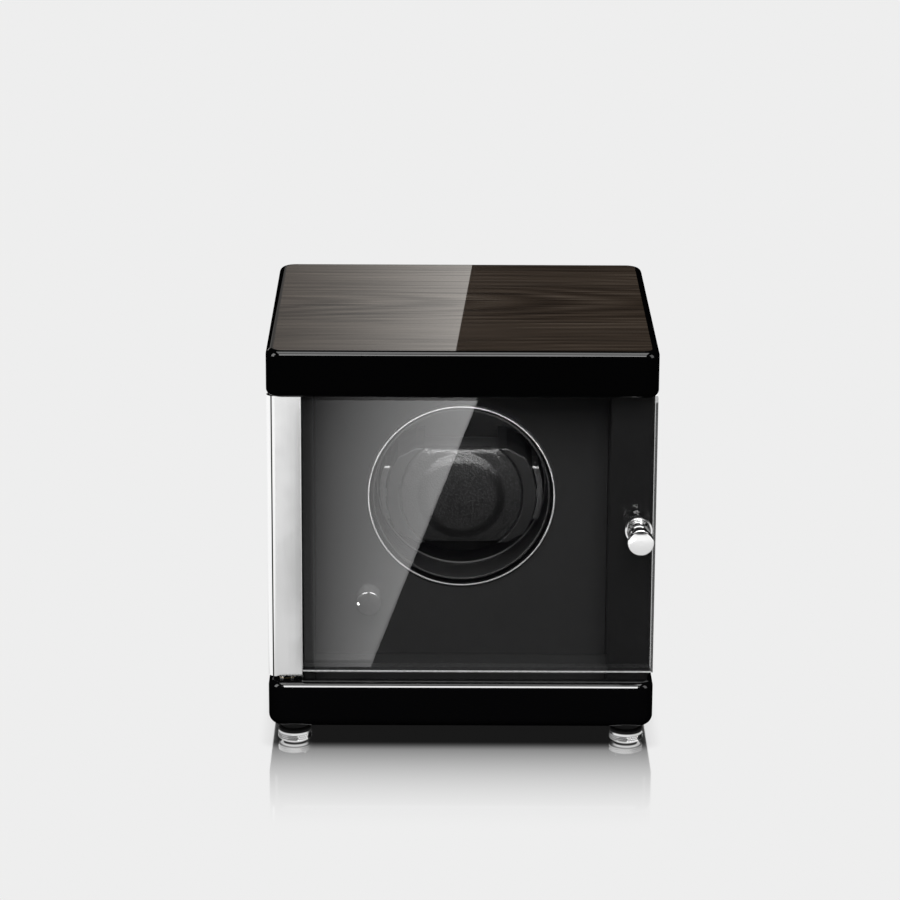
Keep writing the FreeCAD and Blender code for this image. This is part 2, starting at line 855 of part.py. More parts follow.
def rotor_drum():
    """The rotor cup: a rounded rim, a stepped wall, keyed rails on its floor and a boss for the shaft."""
    step_y = drum_front + drum_step_depth
    lip = drum_wall / 2
    rim = drum_front + lip
    socket = drum_inner_floor + drum_floor / 2
    hole = rotor_shaft_radius + slip_clearance
    profile = [
        (rim, drum_inner), (drum_front, drum_inner + lip, rim, drum_radius),
        (drum_back - drum_wall, drum_radius), (drum_back, drum_radius - drum_wall),
        (drum_back, drum_boss_radius), (boss_back, drum_boss_radius), (boss_back, hole), (socket, hole),
        (socket, 0), (drum_inner_floor, 0), (drum_inner_floor, drum_stepped), (step_y, drum_stepped),
        (step_y, drum_inner),
    ]
    cup = turned_y(profile, 0, rotor_z)
    return cup.fuse(both_sides(rail())).removeSplitter()


def rotor_shaft():
    start = drum_inner_floor + drum_floor / 2 + slip_clearance
    shaft = rod_y(rotor_shaft_radius, 0, rotor_z, start, shaft_end)
    groove_radius = rotor_shaft_radius - clip_groove_depth
    clip_back = clip_front + clip_thickness
    return shaft.cut(tube_y(rotor_shaft_radius + OVERCUT, groove_radius, 0, rotor_z, clip_front, clip_back))


def shaft_clip():
    """An open spring ring in the shaft's groove."""
    inner = rotor_shaft_radius - clip_groove_depth + slip_clearance
    clip_back = clip_front + clip_thickness
    ring = tube_y(clip_radius, inner, 0, rotor_z, clip_front, clip_back)
    mouth = block(-inner, inner, clip_front, clip_back, rotor_z, rotor_z + clip_radius)
    return ring.cut(mouth)


# Gears

def involute(angle):
    return math.tan(angle) - angle


def tooth_half_angle(radius, pitch_radius):
    """Half a tooth's angle at a radius, on an involute with backlash taken off."""
    pressure = math.radians(gear_pressure_angle)
    base = pitch_radius * math.cos(pressure)
    at_pitch = (math.pi * gear_module / 2 - gear_backlash) / 2 / pitch_radius
    here = math.acos(min(1.0, base / radius))
    return at_pitch + involute(pressure) - involute(here)


def gear_blank(teeth, y0, y1, z, first_tooth):
    """A spur gear along Y. first_tooth is the angle of one tooth's middle, from +X towards +Z."""
    pitch = gear_module * teeth / 2
    tip = pitch + gear_module
    root = pitch - gear_root_depth * gear_module
    start = max(root, pitch * math.cos(math.radians(gear_pressure_angle)))
    middle_radius = (start + tip) / 2
    profile = []
    for tooth in range(teeth):
        centre = first_tooth + 2 * math.pi * tooth / teeth
        at_foot = tooth_half_angle(start, pitch)
        at_middle = tooth_half_angle(middle_radius, pitch)
        at_tip = tooth_half_angle(tip, pitch)
        profile.append((root, centre - at_foot))
        if start > root:
            profile.append((start, centre - at_foot))
        profile.append((middle_radius, centre - at_middle, tip, centre - at_tip))
        profile.append((tip, centre + at_tip))
        profile.append((middle_radius, centre + at_middle, start, centre + at_foot))
        if start > root:
            profile.append((root, centre + at_foot))
    face = outline(profile, lambda r, a: Vector(r * math.cos(a), y0, z + r * math.sin(a)))
    return face.extrude(Vector(0, y1 - y0, 0))


def driven_gear():
    """The moulded wheel on the rotor shaft: toothed rim, thin web with round holes, and hub."""
    gap_in_mesh = -math.pi / 2 + math.pi / gear_teeth
    wheel = gear_blank(gear_teeth, gear_rim_front, gear_rim_back, rotor_z, gap_in_mesh)
    inside = gear_pitch_radius - gear_root_depth * gear_module - gear_rim_depth
    hollow = (gear_width - gear_web_thickness) / 2
    for face, depth in ((gear_rim_front, hollow), (gear_rim_back, -hollow)):
        wheel = wheel.cut(tube_y(inside, gear_hub_radius, 0, rotor_z, face, face + depth))
    wheel = wheel.fuse(rod_y(gear_hub_radius, 0, rotor_z, boss_back, gear_back)).removeSplitter()
    tools = [hole_y(rotor_shaft_radius + slip_clearance, 0, rotor_z, boss_back, gear_back)]
    circle = (inside + gear_hub_radius) / 2
    for step in range(gear_web_holes):
        angle = 2 * math.pi * step / gear_web_holes
        x, z = circle * math.cos(angle), rotor_z + circle * math.sin(angle)
        tools.append(rod_y(gear_web_hole_radius, x, z, gear_rim_front, gear_rim_back))
    return wheel.cut(tools)


def pinion():
    tooth_in_mesh = math.pi / 2
    body = gear_blank(pinion_teeth, pinion_front, pinion_back, motor_z, tooth_in_mesh)
    return body.cut(hole_y(output_shaft_radius + slip_clearance, 0, motor_z, pinion_front, pinion_back))


def output_shaft():
    return rod_y(output_shaft_radius, 0, motor_z, pinion_front, plate_back + output_shaft_engagement)


# Bearings, plate and motor

def bush(y_flange, y_shoulder, y_end):
    """A flanged bush for the rotor shaft."""
    flange = rod_y(bush_flange_radius, 0, rotor_z, y_flange, y_shoulder)
    barrel = rod_y(bush_radius, 0, rotor_z, y_shoulder, y_end)
    bore = hole_y(rotor_shaft_radius + running_clearance, 0, rotor_z, y_flange, y_end)
    return flange.fuse(barrel).removeSplitter().cut(bore)


def shaft_bushes():
    front_bush = bush(bush_front, housing_front, housing_front + bush_length)
    return [front_bush, bush(housing_back + bush_flange_thickness, housing_back, housing_back - bush_length)]


def housing_screw_places():
    for step in range(housing_screw_count):
        angle = math.pi / 2 + 2 * math.pi * step / housing_screw_count
        yield housing_screw_circle * math.cos(angle), rotor_z + housing_screw_circle * math.sin(angle)


def bearing_housing():
    """The turned housing that holds both bushes, flanged to the plate."""
    flange_back = plate_back + housing_flange_thickness
    body = rod_y(housing_radius, 0, rotor_z, housing_front, housing_back)
    body = body.fuse(rod_y(housing_flange_radius, 0, rotor_z, plate_back, flange_back)).removeSplitter()
    tools = [hole_y(bush_radius + slip_clearance, 0, rotor_z, housing_front, housing_back)]
    for x, z in housing_screw_places():
        tools.append(screw_hole(x, z, plate_back - OVERCUT, flange_back + OVERCUT))
    return body.cut(tools)


def housing_screws():
    seat = plate_back + housing_flange_thickness
    head = seat + small_screw_head_height
    return [cap_screw(x, z, head, seat, plate_front) for x, z in housing_screw_places()]


def motor_screw_places():
    return [(sx * motor_screw_spread, motor_z) for sx in (-1, 1)]


def mechanism_plate():
    """The plate that carries the rotor's bearings and the gearmotor."""
    reach = max(x for x, _ in standoff_places()) + plate_margin
    top = max(z for _, z in standoff_places()) + plate_margin
    body = block(-reach, reach, plate_front, plate_back, motor_z - plate_lower_reach, top)
    corners = [e for e in body.Edges if e.BoundBox.YLength > plate_thickness / 2]
    body = body.makeFillet(plate_corner_radius, corners)
    tools = [hole_y(housing_radius + slip_clearance, 0, rotor_z, plate_front, plate_back)]
    tools.append(hole_y(gearbox_pilot_radius + slip_clearance, 0, motor_z, plate_front, plate_back))
    for x, z in [*standoff_places(), *housing_screw_places(), *motor_screw_places()]:
        tools.append(screw_hole(x, z, plate_front - OVERCUT, plate_back + OVERCUT))
    return body.cut(tools)


def plate_standoffs():
    """Posts from the fascia's back to the plate, with a stud in front and a threaded hole behind."""
    posts = []
    for x, z in standoff_places():
        post = rod_y(standoff_radius, x, z, fascia_back, plate_front)
        stud = rod_y(standoff_stud_radius, x, z, fascia_back - standoff_stud_length, fascia_back)
        hole = screw_hole(x, z, plate_front - small_screw_bite - slip_clearance, plate_front + OVERCUT)
        posts.append(post.fuse(stud).removeSplitter().cut(hole))
    return posts


def plate_screws():
    head = plate_back + small_screw_head_height
    tip = plate_front - small_screw_bite
    return [cap_screw(x, z, head, plate_back, tip) for x, z in standoff_places()]


def gearbox():
    """The motor's reduction box, with a pilot in the plate and a bore for the output shaft."""
    pilot_front = plate_back - gearbox_pilot_height
    body = rod_y(gearbox_radius, 0, motor_z, plate_back, gearbox_back)
    body = body.makeFillet(gearbox_edge_radius, cross_edges(body, gearbox_back))
    body = body.fuse(rod_y(gearbox_pilot_radius, 0, motor_z, pilot_front, plate_back)).removeSplitter()
    bore_end = plate_back + output_shaft_engagement + axial_clearance
    bore = output_shaft_radius + running_clearance
    tools = [rod_y(bore, 0, motor_z, pilot_front - OVERCUT, bore_end)]
    tip = plate_back + small_screw_bite + slip_clearance
    for x, z in motor_screw_places():
        tools.append(screw_hole(x, z, plate_back - OVERCUT, tip))
    return body.cut(tools)


def motor_screws():
    head = plate_front - small_screw_head_height
    tip = plate_back + small_screw_bite
    return [cap_screw(x, z, head, plate_front, tip) for x, z in motor_screw_places()]


def motor_can():
    body = rod_y(motor_radius, 0, motor_z, gearbox_back, motor_back)
    return body.makeFillet(gearbox_edge_radius, cross_edges(body, motor_back))


def motor_outlet():
    """The place on the motor's end cap that its lead leaves, pointing down."""
    return 0, motor_back + motor_cap_length / 2, motor_z - motor_cap_radius - motor_outlet_drop


def motor_end_cap():
    """The plastic cap on the motor's end, with a square outlet below for its lead."""
    half = motor_outlet_width / 2
    _, _, outlet_z = motor_outlet()
    cap = rod_y(motor_cap_radius, 0, motor_z, motor_back, motor_cap_back)
    outlet = block(-half, half, motor_back, motor_cap_back, outlet_z, motor_z)
    return cap.fuse(outlet).removeSplitter()


# Watch cushion

def disc(radius, y0, y1):
    """A disc on the rotor's axis."""
    return rod_y(radius, 0, rotor_z, y0, y1)


def cushion_core():
    """The stiff spine through the cushion that joins its cheeks."""
    half = cushion_core_height / 2
    middle = (cushion_front + cushion_back) / 2
    y0, y1 = middle - cushion_core_depth / 2, middle + cushion_core_depth / 2
    bar = block(-cheek_radius, cheek_radius, y0, y1, rotor_z - half, rotor_z + half)
    return bar.common(disc(cushion_end_radius, y0, y1))


def cushion_seat():
    """The round raised seat on the cushion's front: a soft rounded edge and a faint dome."""
    crown_drop = seat_radius ** 2 / (2 * cushion_crown_radius)
    root = cushion_front + 2 * crown_drop
    border = cushion_front + crown_drop
    top = border - seat_edge_rise
    top_radius = seat_radius - seat_edge_width
    edge_y, edge_radius, _, _ = dome(border, top, seat_edge_width)
    profile = [
        (root, 0), (root, seat_radius), (border, seat_radius),
        (edge_y, top_radius + edge_radius, top, top_radius),
        dome(top, top - seat_dome_rise, top_radius),
    ]
    return turned_y(profile, 0, rotor_z)


def watch_cushion():
    """The pad that a watch is strapped round: crowned front, waisted strap faces and a raised seat."""
    body = block(-cheek_radius, cheek_radius, cushion_front, cushion_back,
                 rotor_z - cushion_half, rotor_z + cushion_half)
    for y, radius in ((cushion_front, cushion_front_rounding), (cushion_back, cushion_back_rounding)):
        long_edges = [e for e in cross_edges(body, y) if e.BoundBox.XLength > cheek_radius]
        body = body.makeFillet(radius, long_edges)
    middle = (cushion_front + cushion_back) / 2
    waist = cushion_half - cushion_waist_depth + cushion_waist_radius
    along_x = Vector(1, 0, 0)
    for sz in (-1, 1):
        axis = Vector(-cheek_radius - OVERCUT, middle, rotor_z + sz * waist)
        body = body.cut(Part.makeCylinder(cushion_waist_radius, 2 * (cheek_radius + OVERCUT), axis, along_x))
    body = body.common(disc(cushion_end_radius, cushion_front - OVERCUT, cushion_back + OVERCUT))
    crown = Part.makeSphere(cushion_crown_radius, Vector(0, cushion_front + cushion_crown_radius, rotor_z))
    body = body.common(crown).fuse(cushion_seat()).removeSplitter()
    return body.cut(cushion_core())


def cushion_cheek():
    """The right cheek: a shouldered end piece with a blind groove that runs on the rail's key."""
    outer = cheek_radius + OVERCUT
    flat = math.sqrt(cushion_end_radius ** 2 - cushion_half ** 2) + cheek_flange
    end_z = cushion_half - (outer - flat) * math.tan(math.radians(cheek_shoulder_angle))
    upper = [(0, cushion_half), (flat, cushion_half), (outer, end_z)]
    shape = upper + [(x, -z) for x, z in reversed(upper)]
    body = disc(cheek_radius, cheek_front, cheek_back)
    body = body.common(polygon_y([(x, rotor_z + z) for x, z in shape], cheek_front, cheek_back))
    inner = cushion_end_radius + slip_clearance
    body = body.cut(disc(inner, cheek_front - OVERCUT, cheek_back + OVERCUT))
    body = body.makeFillet(cheek_rounding, cross_edges(body, cheek_front))
    half = key_width / 2 + key_clearance
    depth = cheek_radius - key_height - key_clearance
    groove_front = cheek_front + key_setback - key_clearance
    return body.cut(block(depth, outer, groove_front, cheek_back + OVERCUT, rotor_z - half, rotor_z + half))


# Controls and power

def selector_knob():
    """A tapered knob with a pointer groove, hollow behind to clear the switch's nut."""
    face = selector_back - selector_length
    narrow = selector_radius - selector_taper
    ease = selector_rounding
    rim = face + selector_dome
    hollow = switch_nut_across_flats / math.sqrt(3) + switch_nut_clearance
    hollow_y = fascia_front - switch_nut_thickness - switch_nut_clearance
    grip_y = hollow_y - selector_grip
    hole = switch_shaft_radius + slip_clearance
    flat = narrow - ease
    profile = [
        (selector_back, hollow), (selector_back, selector_radius), (rim + ease, narrow),
        (rim + ease / 3, narrow - ease / 3, rim, flat),
        dome(rim, face, flat),
        (grip_y, 0), (grip_y, hole), (hollow_y, hole), (hollow_y, hollow),
    ]
    body = turned_y(profile, selector_x, selector_z)
    half = selector_groove_width / 2
    depth = face + selector_dome + selector_groove_depth
    top = selector_z + selector_radius
    return body.cut(block(selector_x - half, selector_x + half, face - OVERCUT, depth, selector_z, top))


def selector_shaft():
    tip = fascia_front - switch_nut_thickness - switch_nut_clearance - selector_grip + slip_clearance
    return rod_y(switch_shaft_radius, selector_x, selector_z, tip, fascia_back + switch_shaft_root)


def rotary_switch():
    """The switch behind the fascia, with its threaded bush through the board."""
    half = switch_side / 2
    x, z = selector_x, selector_z
    bush_end = fascia_front - switch_nut_thickness
    body = block(x - half, x + half, fascia_back, board_front, z - half, z + half)
    body = body.fuse(rod_y(switch_bush_radius, x, z, bush_end, fascia_back)).removeSplitter()
    well = fascia_back + switch_shaft_root + axial_clearance
    return body.cut(rod_y(switch_shaft_radius + running_clearance, x, z, bush_end - OVERCUT, well))


def switch_nut():
    y0 = fascia_front - switch_nut_thickness
    nut = hexagon_y(switch_nut_across_flats, selector_x, selector_z, y0, fascia_front)
    return nut.cut(hole_y(switch_bush_radius + slip_clearance, selector_x, selector_z, y0, fascia_front))


def control_board():
    x0, x1 = selector_x - board_reach_left, selector_x + board_reach_right
    z0, z1 = selector_z - board_reach_down, selector_z + board_reach_up
    return block(x0, x1, board_front, board_back, z0, z1)


def connector_places():
    """Where the sockets for the power lead and the motor lead stand, on the board's lower edge."""
    z = selector_z - board_reach_down + connector_width / 2
    left = selector_x - board_reach_left + connector_inset
    right = selector_x + board_reach_right - connector_inset
    return [(left, z), (right, z)]


def board_parts():
    """The controller, a capacitor and the two lead sockets, on the board's back."""
    half = chip_length / 2
    x, z = selector_x, selector_z
    pieces = [block(x - half, x + half, board_back, board_back + chip_height, z, z + chip_width)]
    x = selector_x + board_reach_right - connector_inset
    pieces.append(rod_y(capacitor_radius, x, z + capacitor_radius, board_back, board_back + capacitor_height))
    dx, dz = connector_length / 2, connector_width / 2
    for x, z in connector_places():
        pieces.append(block(x - dx, x + dx, board_back, socket_face, z - dz, z + dz))
    return pieces


def dc_inlet():
    """The round power socket through the rear panel."""
    body = rod_y(inlet_barrel_radius, inlet_x, inlet_z, inlet_back, inlet_face)
    body = body.fuse(rod_y(inlet_flange_radius, inlet_x, inlet_z, panel_back, inlet_face)).removeSplitter()
    bore_end = inlet_face - inlet_bore_depth
    return body.cut(rod_y(inlet_bore_radius, inlet_x, inlet_z, bore_end, inlet_face + OVERCUT))


def dc_inlet_pin():
    y0, y1 = inlet_face - inlet_bore_depth, inlet_face - inlet_pin_setback
    return rod_y(inlet_pin_radius, inlet_x, inlet_z, y0, y1)


def dc_inlet_nut():
    y0 = panel_front - inlet_nut_thickness
    nut = hexagon_y(inlet_nut_across_flats, inlet_x, inlet_z, y0, panel_front)
    return nut.cut(hole_y(inlet_barrel_radius + slip_clearance, inlet_x, inlet_z, y0, panel_front))


def case_lead(begin, heading, end):
    """A lead that leaves begin along heading, lies on the case floor and meets a socket straight on."""
    leave = Vector(*begin) + Vector(*heading) * lead_straight
    enter = Vector(*end) + Vector(0, lead_straight, 0)
    route = [begin, leave]
    for share, lift in ((lead_bend_share, lead_lift), (0.5, 0), (1 - lead_bend_share, 0)):
        spot = leave + (enter - leave) * share
        route.append((spot.x, spot.y, lead_floor + lift))
    return lead(route + [enter, end])


def power_lead():
    x, z = connector_places()[0]
    return case_lead((inlet_x, inlet_back, inlet_z), (0, -1, 0), (x, socket_face, z))


def motor_lead():
    x, z = connector_places()[1]
    return case_lead(motor_outlet(), (0, 0, -1), (x, socket_face, z))


def nodes():
    """Every piece by name. A list is a group of like pieces that share one name."""
    made = {
        "base_slab": base_slab(),
        "top_slab": top_slab(),
        "veneer_inlay": veneer_inlay(),
        "left_wall": left_wall(),
        "right_wall": right_wall(),
        "carcass_dowels": carcass_dowels(),
        "rear_panel": rear_panel(),
        "rear_battens": rear_battens(),
        "rear_panel_screws": rear_panel_screws(),
        "foot_pads": foot_pads(),
        "foot_screws": foot_screws(),
        "hinge_bushes": hinge_bushes(),
        "hinge_washers": hinge_washers(),
        "hinge_pins": hinge_pins(),
        "hinge_profile": hinge_profile(),
        "door_glass": door_glass(),
        "door_knob": door_knob(),
        "knob_washer": knob_washer(),
        "knob_screw": knob_screw(),
        "strike_plate": strike_plate(),
        "catch_magnet": catch_magnet(),
        "fascia": fascia(),
        "fascia_battens": both_sides(batten(fascia_back, fascia_back + batten_width)),
        "bezel_ring": bezel_ring(),
        "rotor_drum": rotor_drum(),
        "rotor_shaft": rotor_shaft(),
        "shaft_clip": shaft_clip(),
        "driven_gear": driven_gear(),
        "pinion": pinion(),
        "output_shaft": output_shaft(),
        "shaft_bushes": shaft_bushes(),
        "bearing_housing": bearing_housing(),
        "housing_screws": housing_screws(),
        "mechanism_plate": mechanism_plate(),
        "plate_standoffs": plate_standoffs(),
        "plate_screws": plate_screws(),
        "gearbox": gearbox(),
        "motor_screws": motor_screws(),
        "motor_can": motor_can(),
        "motor_end_cap": motor_end_cap(),
        "watch_cushion": watch_cushion(),
        "cushion_core": cushion_core(),
        "right_cheek": cushion_cheek(),
        "left_cheek": mirrored_x(cushion_cheek()),
        "selector_knob": selector_knob(),
        "selector_shaft": selector_shaft(),
        "rotary_switch": rotary_switch(),
        "switch_nut": switch_nut(),
        "control_board": control_board(),
        "board_parts": board_parts(),
        "dc_inlet": dc_inlet(),
        "dc_inlet_pin": dc_inlet_pin(),
        "dc_inlet_nut": dc_inlet_nut(),
        "power_lead": power_lead(),
        "motor_lead": motor_lead(),
    }
    for name, x, y in foot_places():
        made[name] = foot(x, y)
    return made


def main():
    os.makedirs("parts", exist_ok=True)
    for name, shape in nodes().items():
        piece = Part.makeCompound(shape) if isinstance(shape, list) else shape
        piece.exportStep(f"parts/{name}.step")


main()
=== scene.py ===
"""The look of the watch winder box: materials, the padded cushion, knurled feet, studio light and camera.

Metres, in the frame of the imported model. Lights, cards and the camera are placed in millimetres.
"""
import bpy
import json
import math
from mathutils import Matrix, Vector

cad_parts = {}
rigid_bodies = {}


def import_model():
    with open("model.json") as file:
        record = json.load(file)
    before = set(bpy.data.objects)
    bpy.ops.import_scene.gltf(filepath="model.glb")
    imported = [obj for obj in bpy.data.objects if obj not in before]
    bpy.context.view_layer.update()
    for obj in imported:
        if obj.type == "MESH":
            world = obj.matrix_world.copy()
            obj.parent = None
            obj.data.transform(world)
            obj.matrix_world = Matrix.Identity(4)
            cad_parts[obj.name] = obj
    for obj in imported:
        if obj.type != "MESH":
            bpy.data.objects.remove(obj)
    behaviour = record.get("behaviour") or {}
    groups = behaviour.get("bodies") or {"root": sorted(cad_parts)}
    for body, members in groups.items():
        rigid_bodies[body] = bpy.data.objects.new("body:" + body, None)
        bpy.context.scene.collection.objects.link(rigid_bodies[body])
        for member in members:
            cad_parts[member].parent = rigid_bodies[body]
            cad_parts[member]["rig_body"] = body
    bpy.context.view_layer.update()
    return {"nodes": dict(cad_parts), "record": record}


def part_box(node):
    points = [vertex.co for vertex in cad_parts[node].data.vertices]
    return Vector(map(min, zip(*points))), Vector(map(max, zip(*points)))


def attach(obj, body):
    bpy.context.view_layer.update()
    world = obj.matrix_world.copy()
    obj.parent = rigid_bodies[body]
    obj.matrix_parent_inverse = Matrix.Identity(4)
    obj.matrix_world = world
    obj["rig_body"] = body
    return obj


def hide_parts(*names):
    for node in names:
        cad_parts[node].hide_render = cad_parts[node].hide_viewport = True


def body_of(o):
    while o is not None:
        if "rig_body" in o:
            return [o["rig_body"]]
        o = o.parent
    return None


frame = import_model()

NODES = frame["nodes"]
MM = 0.001
FEET = ["foot_front_left", "foot_front_right", "foot_rear_left", "foot_rear_right"]
KNURLS = [foot + "_knurl" for foot in FEET]
WALL_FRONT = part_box("right_wall")[0].y
WALL_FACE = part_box("right_wall")[0].x
BASE_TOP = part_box("base_slab")[1].z


# Shader helpers

def grey(value):
    return (value, value, value)


def opaque(colour):
    return (*colour, 1.0)


def darker(colour, share):
    return tuple(share * part for part in colour)


class Surface:
    """A material with one main shader, and short ways to add texture nodes to it."""

    def __init__(self, name, **values):
        self.material = bpy.data.materials.new(name)
        self.material.use_nodes = True
        self.nodes = self.material.node_tree.nodes
        self.links = self.material.node_tree.links
        self.shader = self.nodes["Principled BSDF"]
        for socket, value in values.items():
            self.shader.inputs[socket.replace("_", " ")].default_value = value

    def add(self, kind, inputs=None, **settings):
        node = self.nodes.new(kind)
        for key, value in settings.items():
            setattr(node, key, value)
        for socket, value in (inputs or {}).items():
            if isinstance(value, bpy.types.NodeSocket):
                self.links.new(value, node.inputs[socket])
            else:
                node.inputs[socket].default_value = value
        return node

    def place(self, scale=(1, 1, 1)):
        """The piece's own coordinates in metres, stretched."""
        here = self.add("ShaderNodeTexCoord").outputs["Object"]
        return self.add("ShaderNodeMapping", {"Vector": here, "Scale": scale}).outputs["Vector"]

    def axis(self, name):
        """One coordinate of the piece's own place, in metres."""
        here = self.add("ShaderNodeTexCoord").outputs["Object"]
        return self.add("ShaderNodeSeparateXYZ", {"Vector": here}).outputs[name]

    def offset(self, name, start):
        """One coordinate, counted from a start."""
        return self.math("SUBTRACT", self.axis(name), start)

    def noise(self, scale, detail=3.0, rough=0.5, stretch=(1, 1, 1), warp=0.0):
        inputs = {"Vector": self.place(stretch), "Scale": scale, "Detail": detail, "Roughness": rough}
        inputs["Distortion"] = warp
        return self.add("ShaderNodeTexNoise", inputs).outputs["Fac"]

    def cells(self, scale):
        inputs = {"Vector": self.place(), "Scale": scale}
        return self.add("ShaderNodeTexVoronoi", inputs).outputs["Distance"]

    def math(self, operation, a, b=0.0, c=0.0):
        return self.add("ShaderNodeMath", {0: a, 1: b, 2: c}, operation=operation).outputs["Value"]

    def length(self, a, b):
        return self.math("SQRT", self.math("MULTIPLY_ADD", a, a, self.math("MULTIPLY", b, b)))

    def fit(self, value, low, high, to_low=0.0, to_high=1.0, smooth=True):
        """The value carried from one range to another, held at both ends."""
        kind = "SMOOTHSTEP" if smooth else "LINEAR"
        inputs = {"Value": value, "From Min": low, "From Max": high, "To Min": to_low, "To Max": to_high}
        return self.add("ShaderNodeMapRange", inputs, interpolation_type=kind).outputs["Result"]

    def ramp(self, value, stops):
        node = self.add("ShaderNodeValToRGB", {"Fac": value})
        elements = node.color_ramp.elements
        while len(elements) < len(stops):
            elements.new(0.5)
        for element, (place, colour) in zip(elements, stops):
            element.position = place
            element.color = opaque(colour)
        return node.outputs["Color"]

    def mix(self, factor, a, b):
        """One colour changing to another. The numbers are the colour sockets of the node."""
        node = self.add("ShaderNodeMix", {"Factor": factor}, data_type="RGBA")
        for socket, value in ((6, a), (7, b)):
            if isinstance(value, bpy.types.NodeSocket):
                self.links.new(value, node.inputs[socket])
            else:
                node.inputs[socket].default_value = opaque(value)
        return node.outputs[2]

    def bump(self, height, depth, strength=1.0, under=None):
        inputs = {"Height": height, "Distance": depth, "Strength": strength}
        if under is not None:
            inputs["Normal"] = under
        return self.add("ShaderNodeBump", inputs).outputs["Normal"]

    def set(self, **sockets):
        for socket, value in sockets.items():
            self.links.new(value, self.shader.inputs[socket.replace("_", " ")])
        return self


# Lacquer

def lacquer_haze(look):
    return look.noise(60, 4, 0.6)


def lacquer_polish(look, haze):
    """The roughness of polished lacquer, a little uneven."""
    return look.fit(haze, 0.3, 0.75, 0.02, 0.055)


def lacquer_wave(look):
    """The slow waviness of thick lacquer."""
    return look.bump(look.noise(14, 2, 0.4), 0.06 * MM, 0.5)


def black_lacquer():
    """Deep gloss lacquer with a faint polish haze and a slow waviness."""
    look = Surface("black_lacquer", Base_Color=(0.0010, 0.0010, 0.0011, 1), IOR=1.5)
    fine = look.noise(900, 2, 0.5)
    normal = look.bump(fine, 0.002 * MM, 0.2, lacquer_wave(look))
    return look.set(Roughness=lacquer_polish(look, lacquer_haze(look)), Normal=normal)


def wall_lacquer():
    """The same lacquer, duller and with a painted grey highlight on the narrow front edge behind the glass.
    """
    look = Surface("wall_lacquer", IOR=1.5, Specular_IOR_Level=0.15)
    haze = lacquer_haze(look)
    # Painted highlight: the narrow front edge is coloured grey, and it is also rougher.
    painted_edge_highlight = look.fit(look.axis("Y"), WALL_FRONT + 0.7 * MM, WALL_FRONT + 0.1 * MM)
    colour = look.mix(painted_edge_highlight, (0.0022, 0.0022, 0.0024), look.mix(haze, grey(0.014), grey(0.019)))
    rough = look.math("MULTIPLY_ADD", painted_edge_highlight, 0.4, lacquer_polish(look, haze))
    return look.set(Base_Color=colour, Roughness=rough, Normal=lacquer_wave(look))


def base_lacquer():
    """The same lacquer outside, and a dull dark cover on the chamber's floor behind the glass."""
    look = Surface("base_lacquer", IOR=1.5)
    haze = lacquer_haze(look)
    aside = look.math("ABSOLUTE", look.axis("X"))
    side = look.fit(aside, WALL_FACE + 0.1 * MM, WALL_FACE - 0.2 * MM)
    depth = look.fit(look.axis("Y"), WALL_FRONT - 0.8 * MM, WALL_FRONT - 0.3 * MM)
    height = look.fit(look.axis("Z"), BASE_TOP - 1.0 * MM, BASE_TOP - 0.2 * MM)
    inside = look.math("MULTIPLY", look.math("MULTIPLY", side, depth), height)
    colour = look.mix(inside, (0.0008, 0.0008, 0.0009), look.mix(haze, grey(0.045), grey(0.055)))
    rough = look.math("MULTIPLY_ADD", inside, 0.45, lacquer_polish(look, haze))
    return look.set(Base_Color=colour, Roughness=rough, Normal=lacquer_wave(look))


# Wood

def veneer():
    """Dark brown veneer under clear lacquer: grain along X, nested long figure, streaks and pores."""
    look = Surface("veneer", IOR=1.5, Roughness=0.5, Specular_IOR_Level=0.1,
                   Coat_Roughness=0.015, Coat_IOR=1.5)
    sway = look.math("MULTIPLY_ADD", look.noise(9, 2, 0.5, (0.7, 1.6, 1)), 26 * MM, -13 * MM)
    across = look.math("SUBTRACT", look.math("ADD", look.axis("Y"), sway), 12 * MM)
    along = look.math("MULTIPLY_ADD", look.axis("X"), 0.12, 22 * MM)
    figure = look.length(across, along)
    broad = look.noise(7, 3, 0.6, (0.5, 8, 1), 0.3)
    streak = look.noise(22, 5, 0.65, (0.45, 20, 1), 0.2)
    rings = look.math("SINE", look.math("MULTIPLY_ADD", figure, 1000.0, look.math("MULTIPLY", streak, 5.0)))
    rings = look.math("MULTIPLY", rings, look.fit(figure, 20 * MM, 50 * MM, 1.0, 0.3))
    pores = look.noise(160, 2, 0.6, (0.06, 6, 1))
    lines = look.fit(look.noise(26, 4, 0.65, (0.40, 18, 1), 0.3), 0.52, 0.64, 0.0, 0.5)
    tone = look.math("MULTIPLY_ADD", rings, 0.095, look.math("MULTIPLY_ADD", broad, 0.32, -0.05))
    tone = look.math("MULTIPLY_ADD", streak, 0.65, tone)
    colour = look.ramp(tone, [
        (0.24, (0.0110, 0.0068, 0.0044)), (0.39, (0.0290, 0.0198, 0.0134)),
        (0.51, (0.0530, 0.0388, 0.0283)), (0.68, (0.1090, 0.0874, 0.0684)),
    ])
    dark = look.math("MAXIMUM", look.fit(pores, 0.55, 0.68, 0.0, 0.7), lines)
    colour = look.mix(dark, colour, (0.0055, 0.0036, 0.0025))
    gloss = look.math("MULTIPLY_ADD", dark, -0.25, look.fit(tone, 0.30, 0.50, 0.83, 1.0))
    return look.set(Base_Color=colour, Coat_Weight=gloss, Normal=look.bump(pores, 0.02 * MM, 0.15))


def board_wood():
    """Plain unfinished board with fine fibres."""
    look = Surface("raw_board", Roughness=0.75)
    fibre = look.noise(120, 4, 0.6, (1, 1, 0.06))
    colour = look.ramp(fibre, [
        (0.3, (0.20, 0.14, 0.09)), (0.55, (0.36, 0.27, 0.18)), (0.75, (0.47, 0.37, 0.26)),
    ])
    return look.set(Base_Color=colour, Normal=look.bump(fibre, 0.08 * MM, 0.5))


# Metal

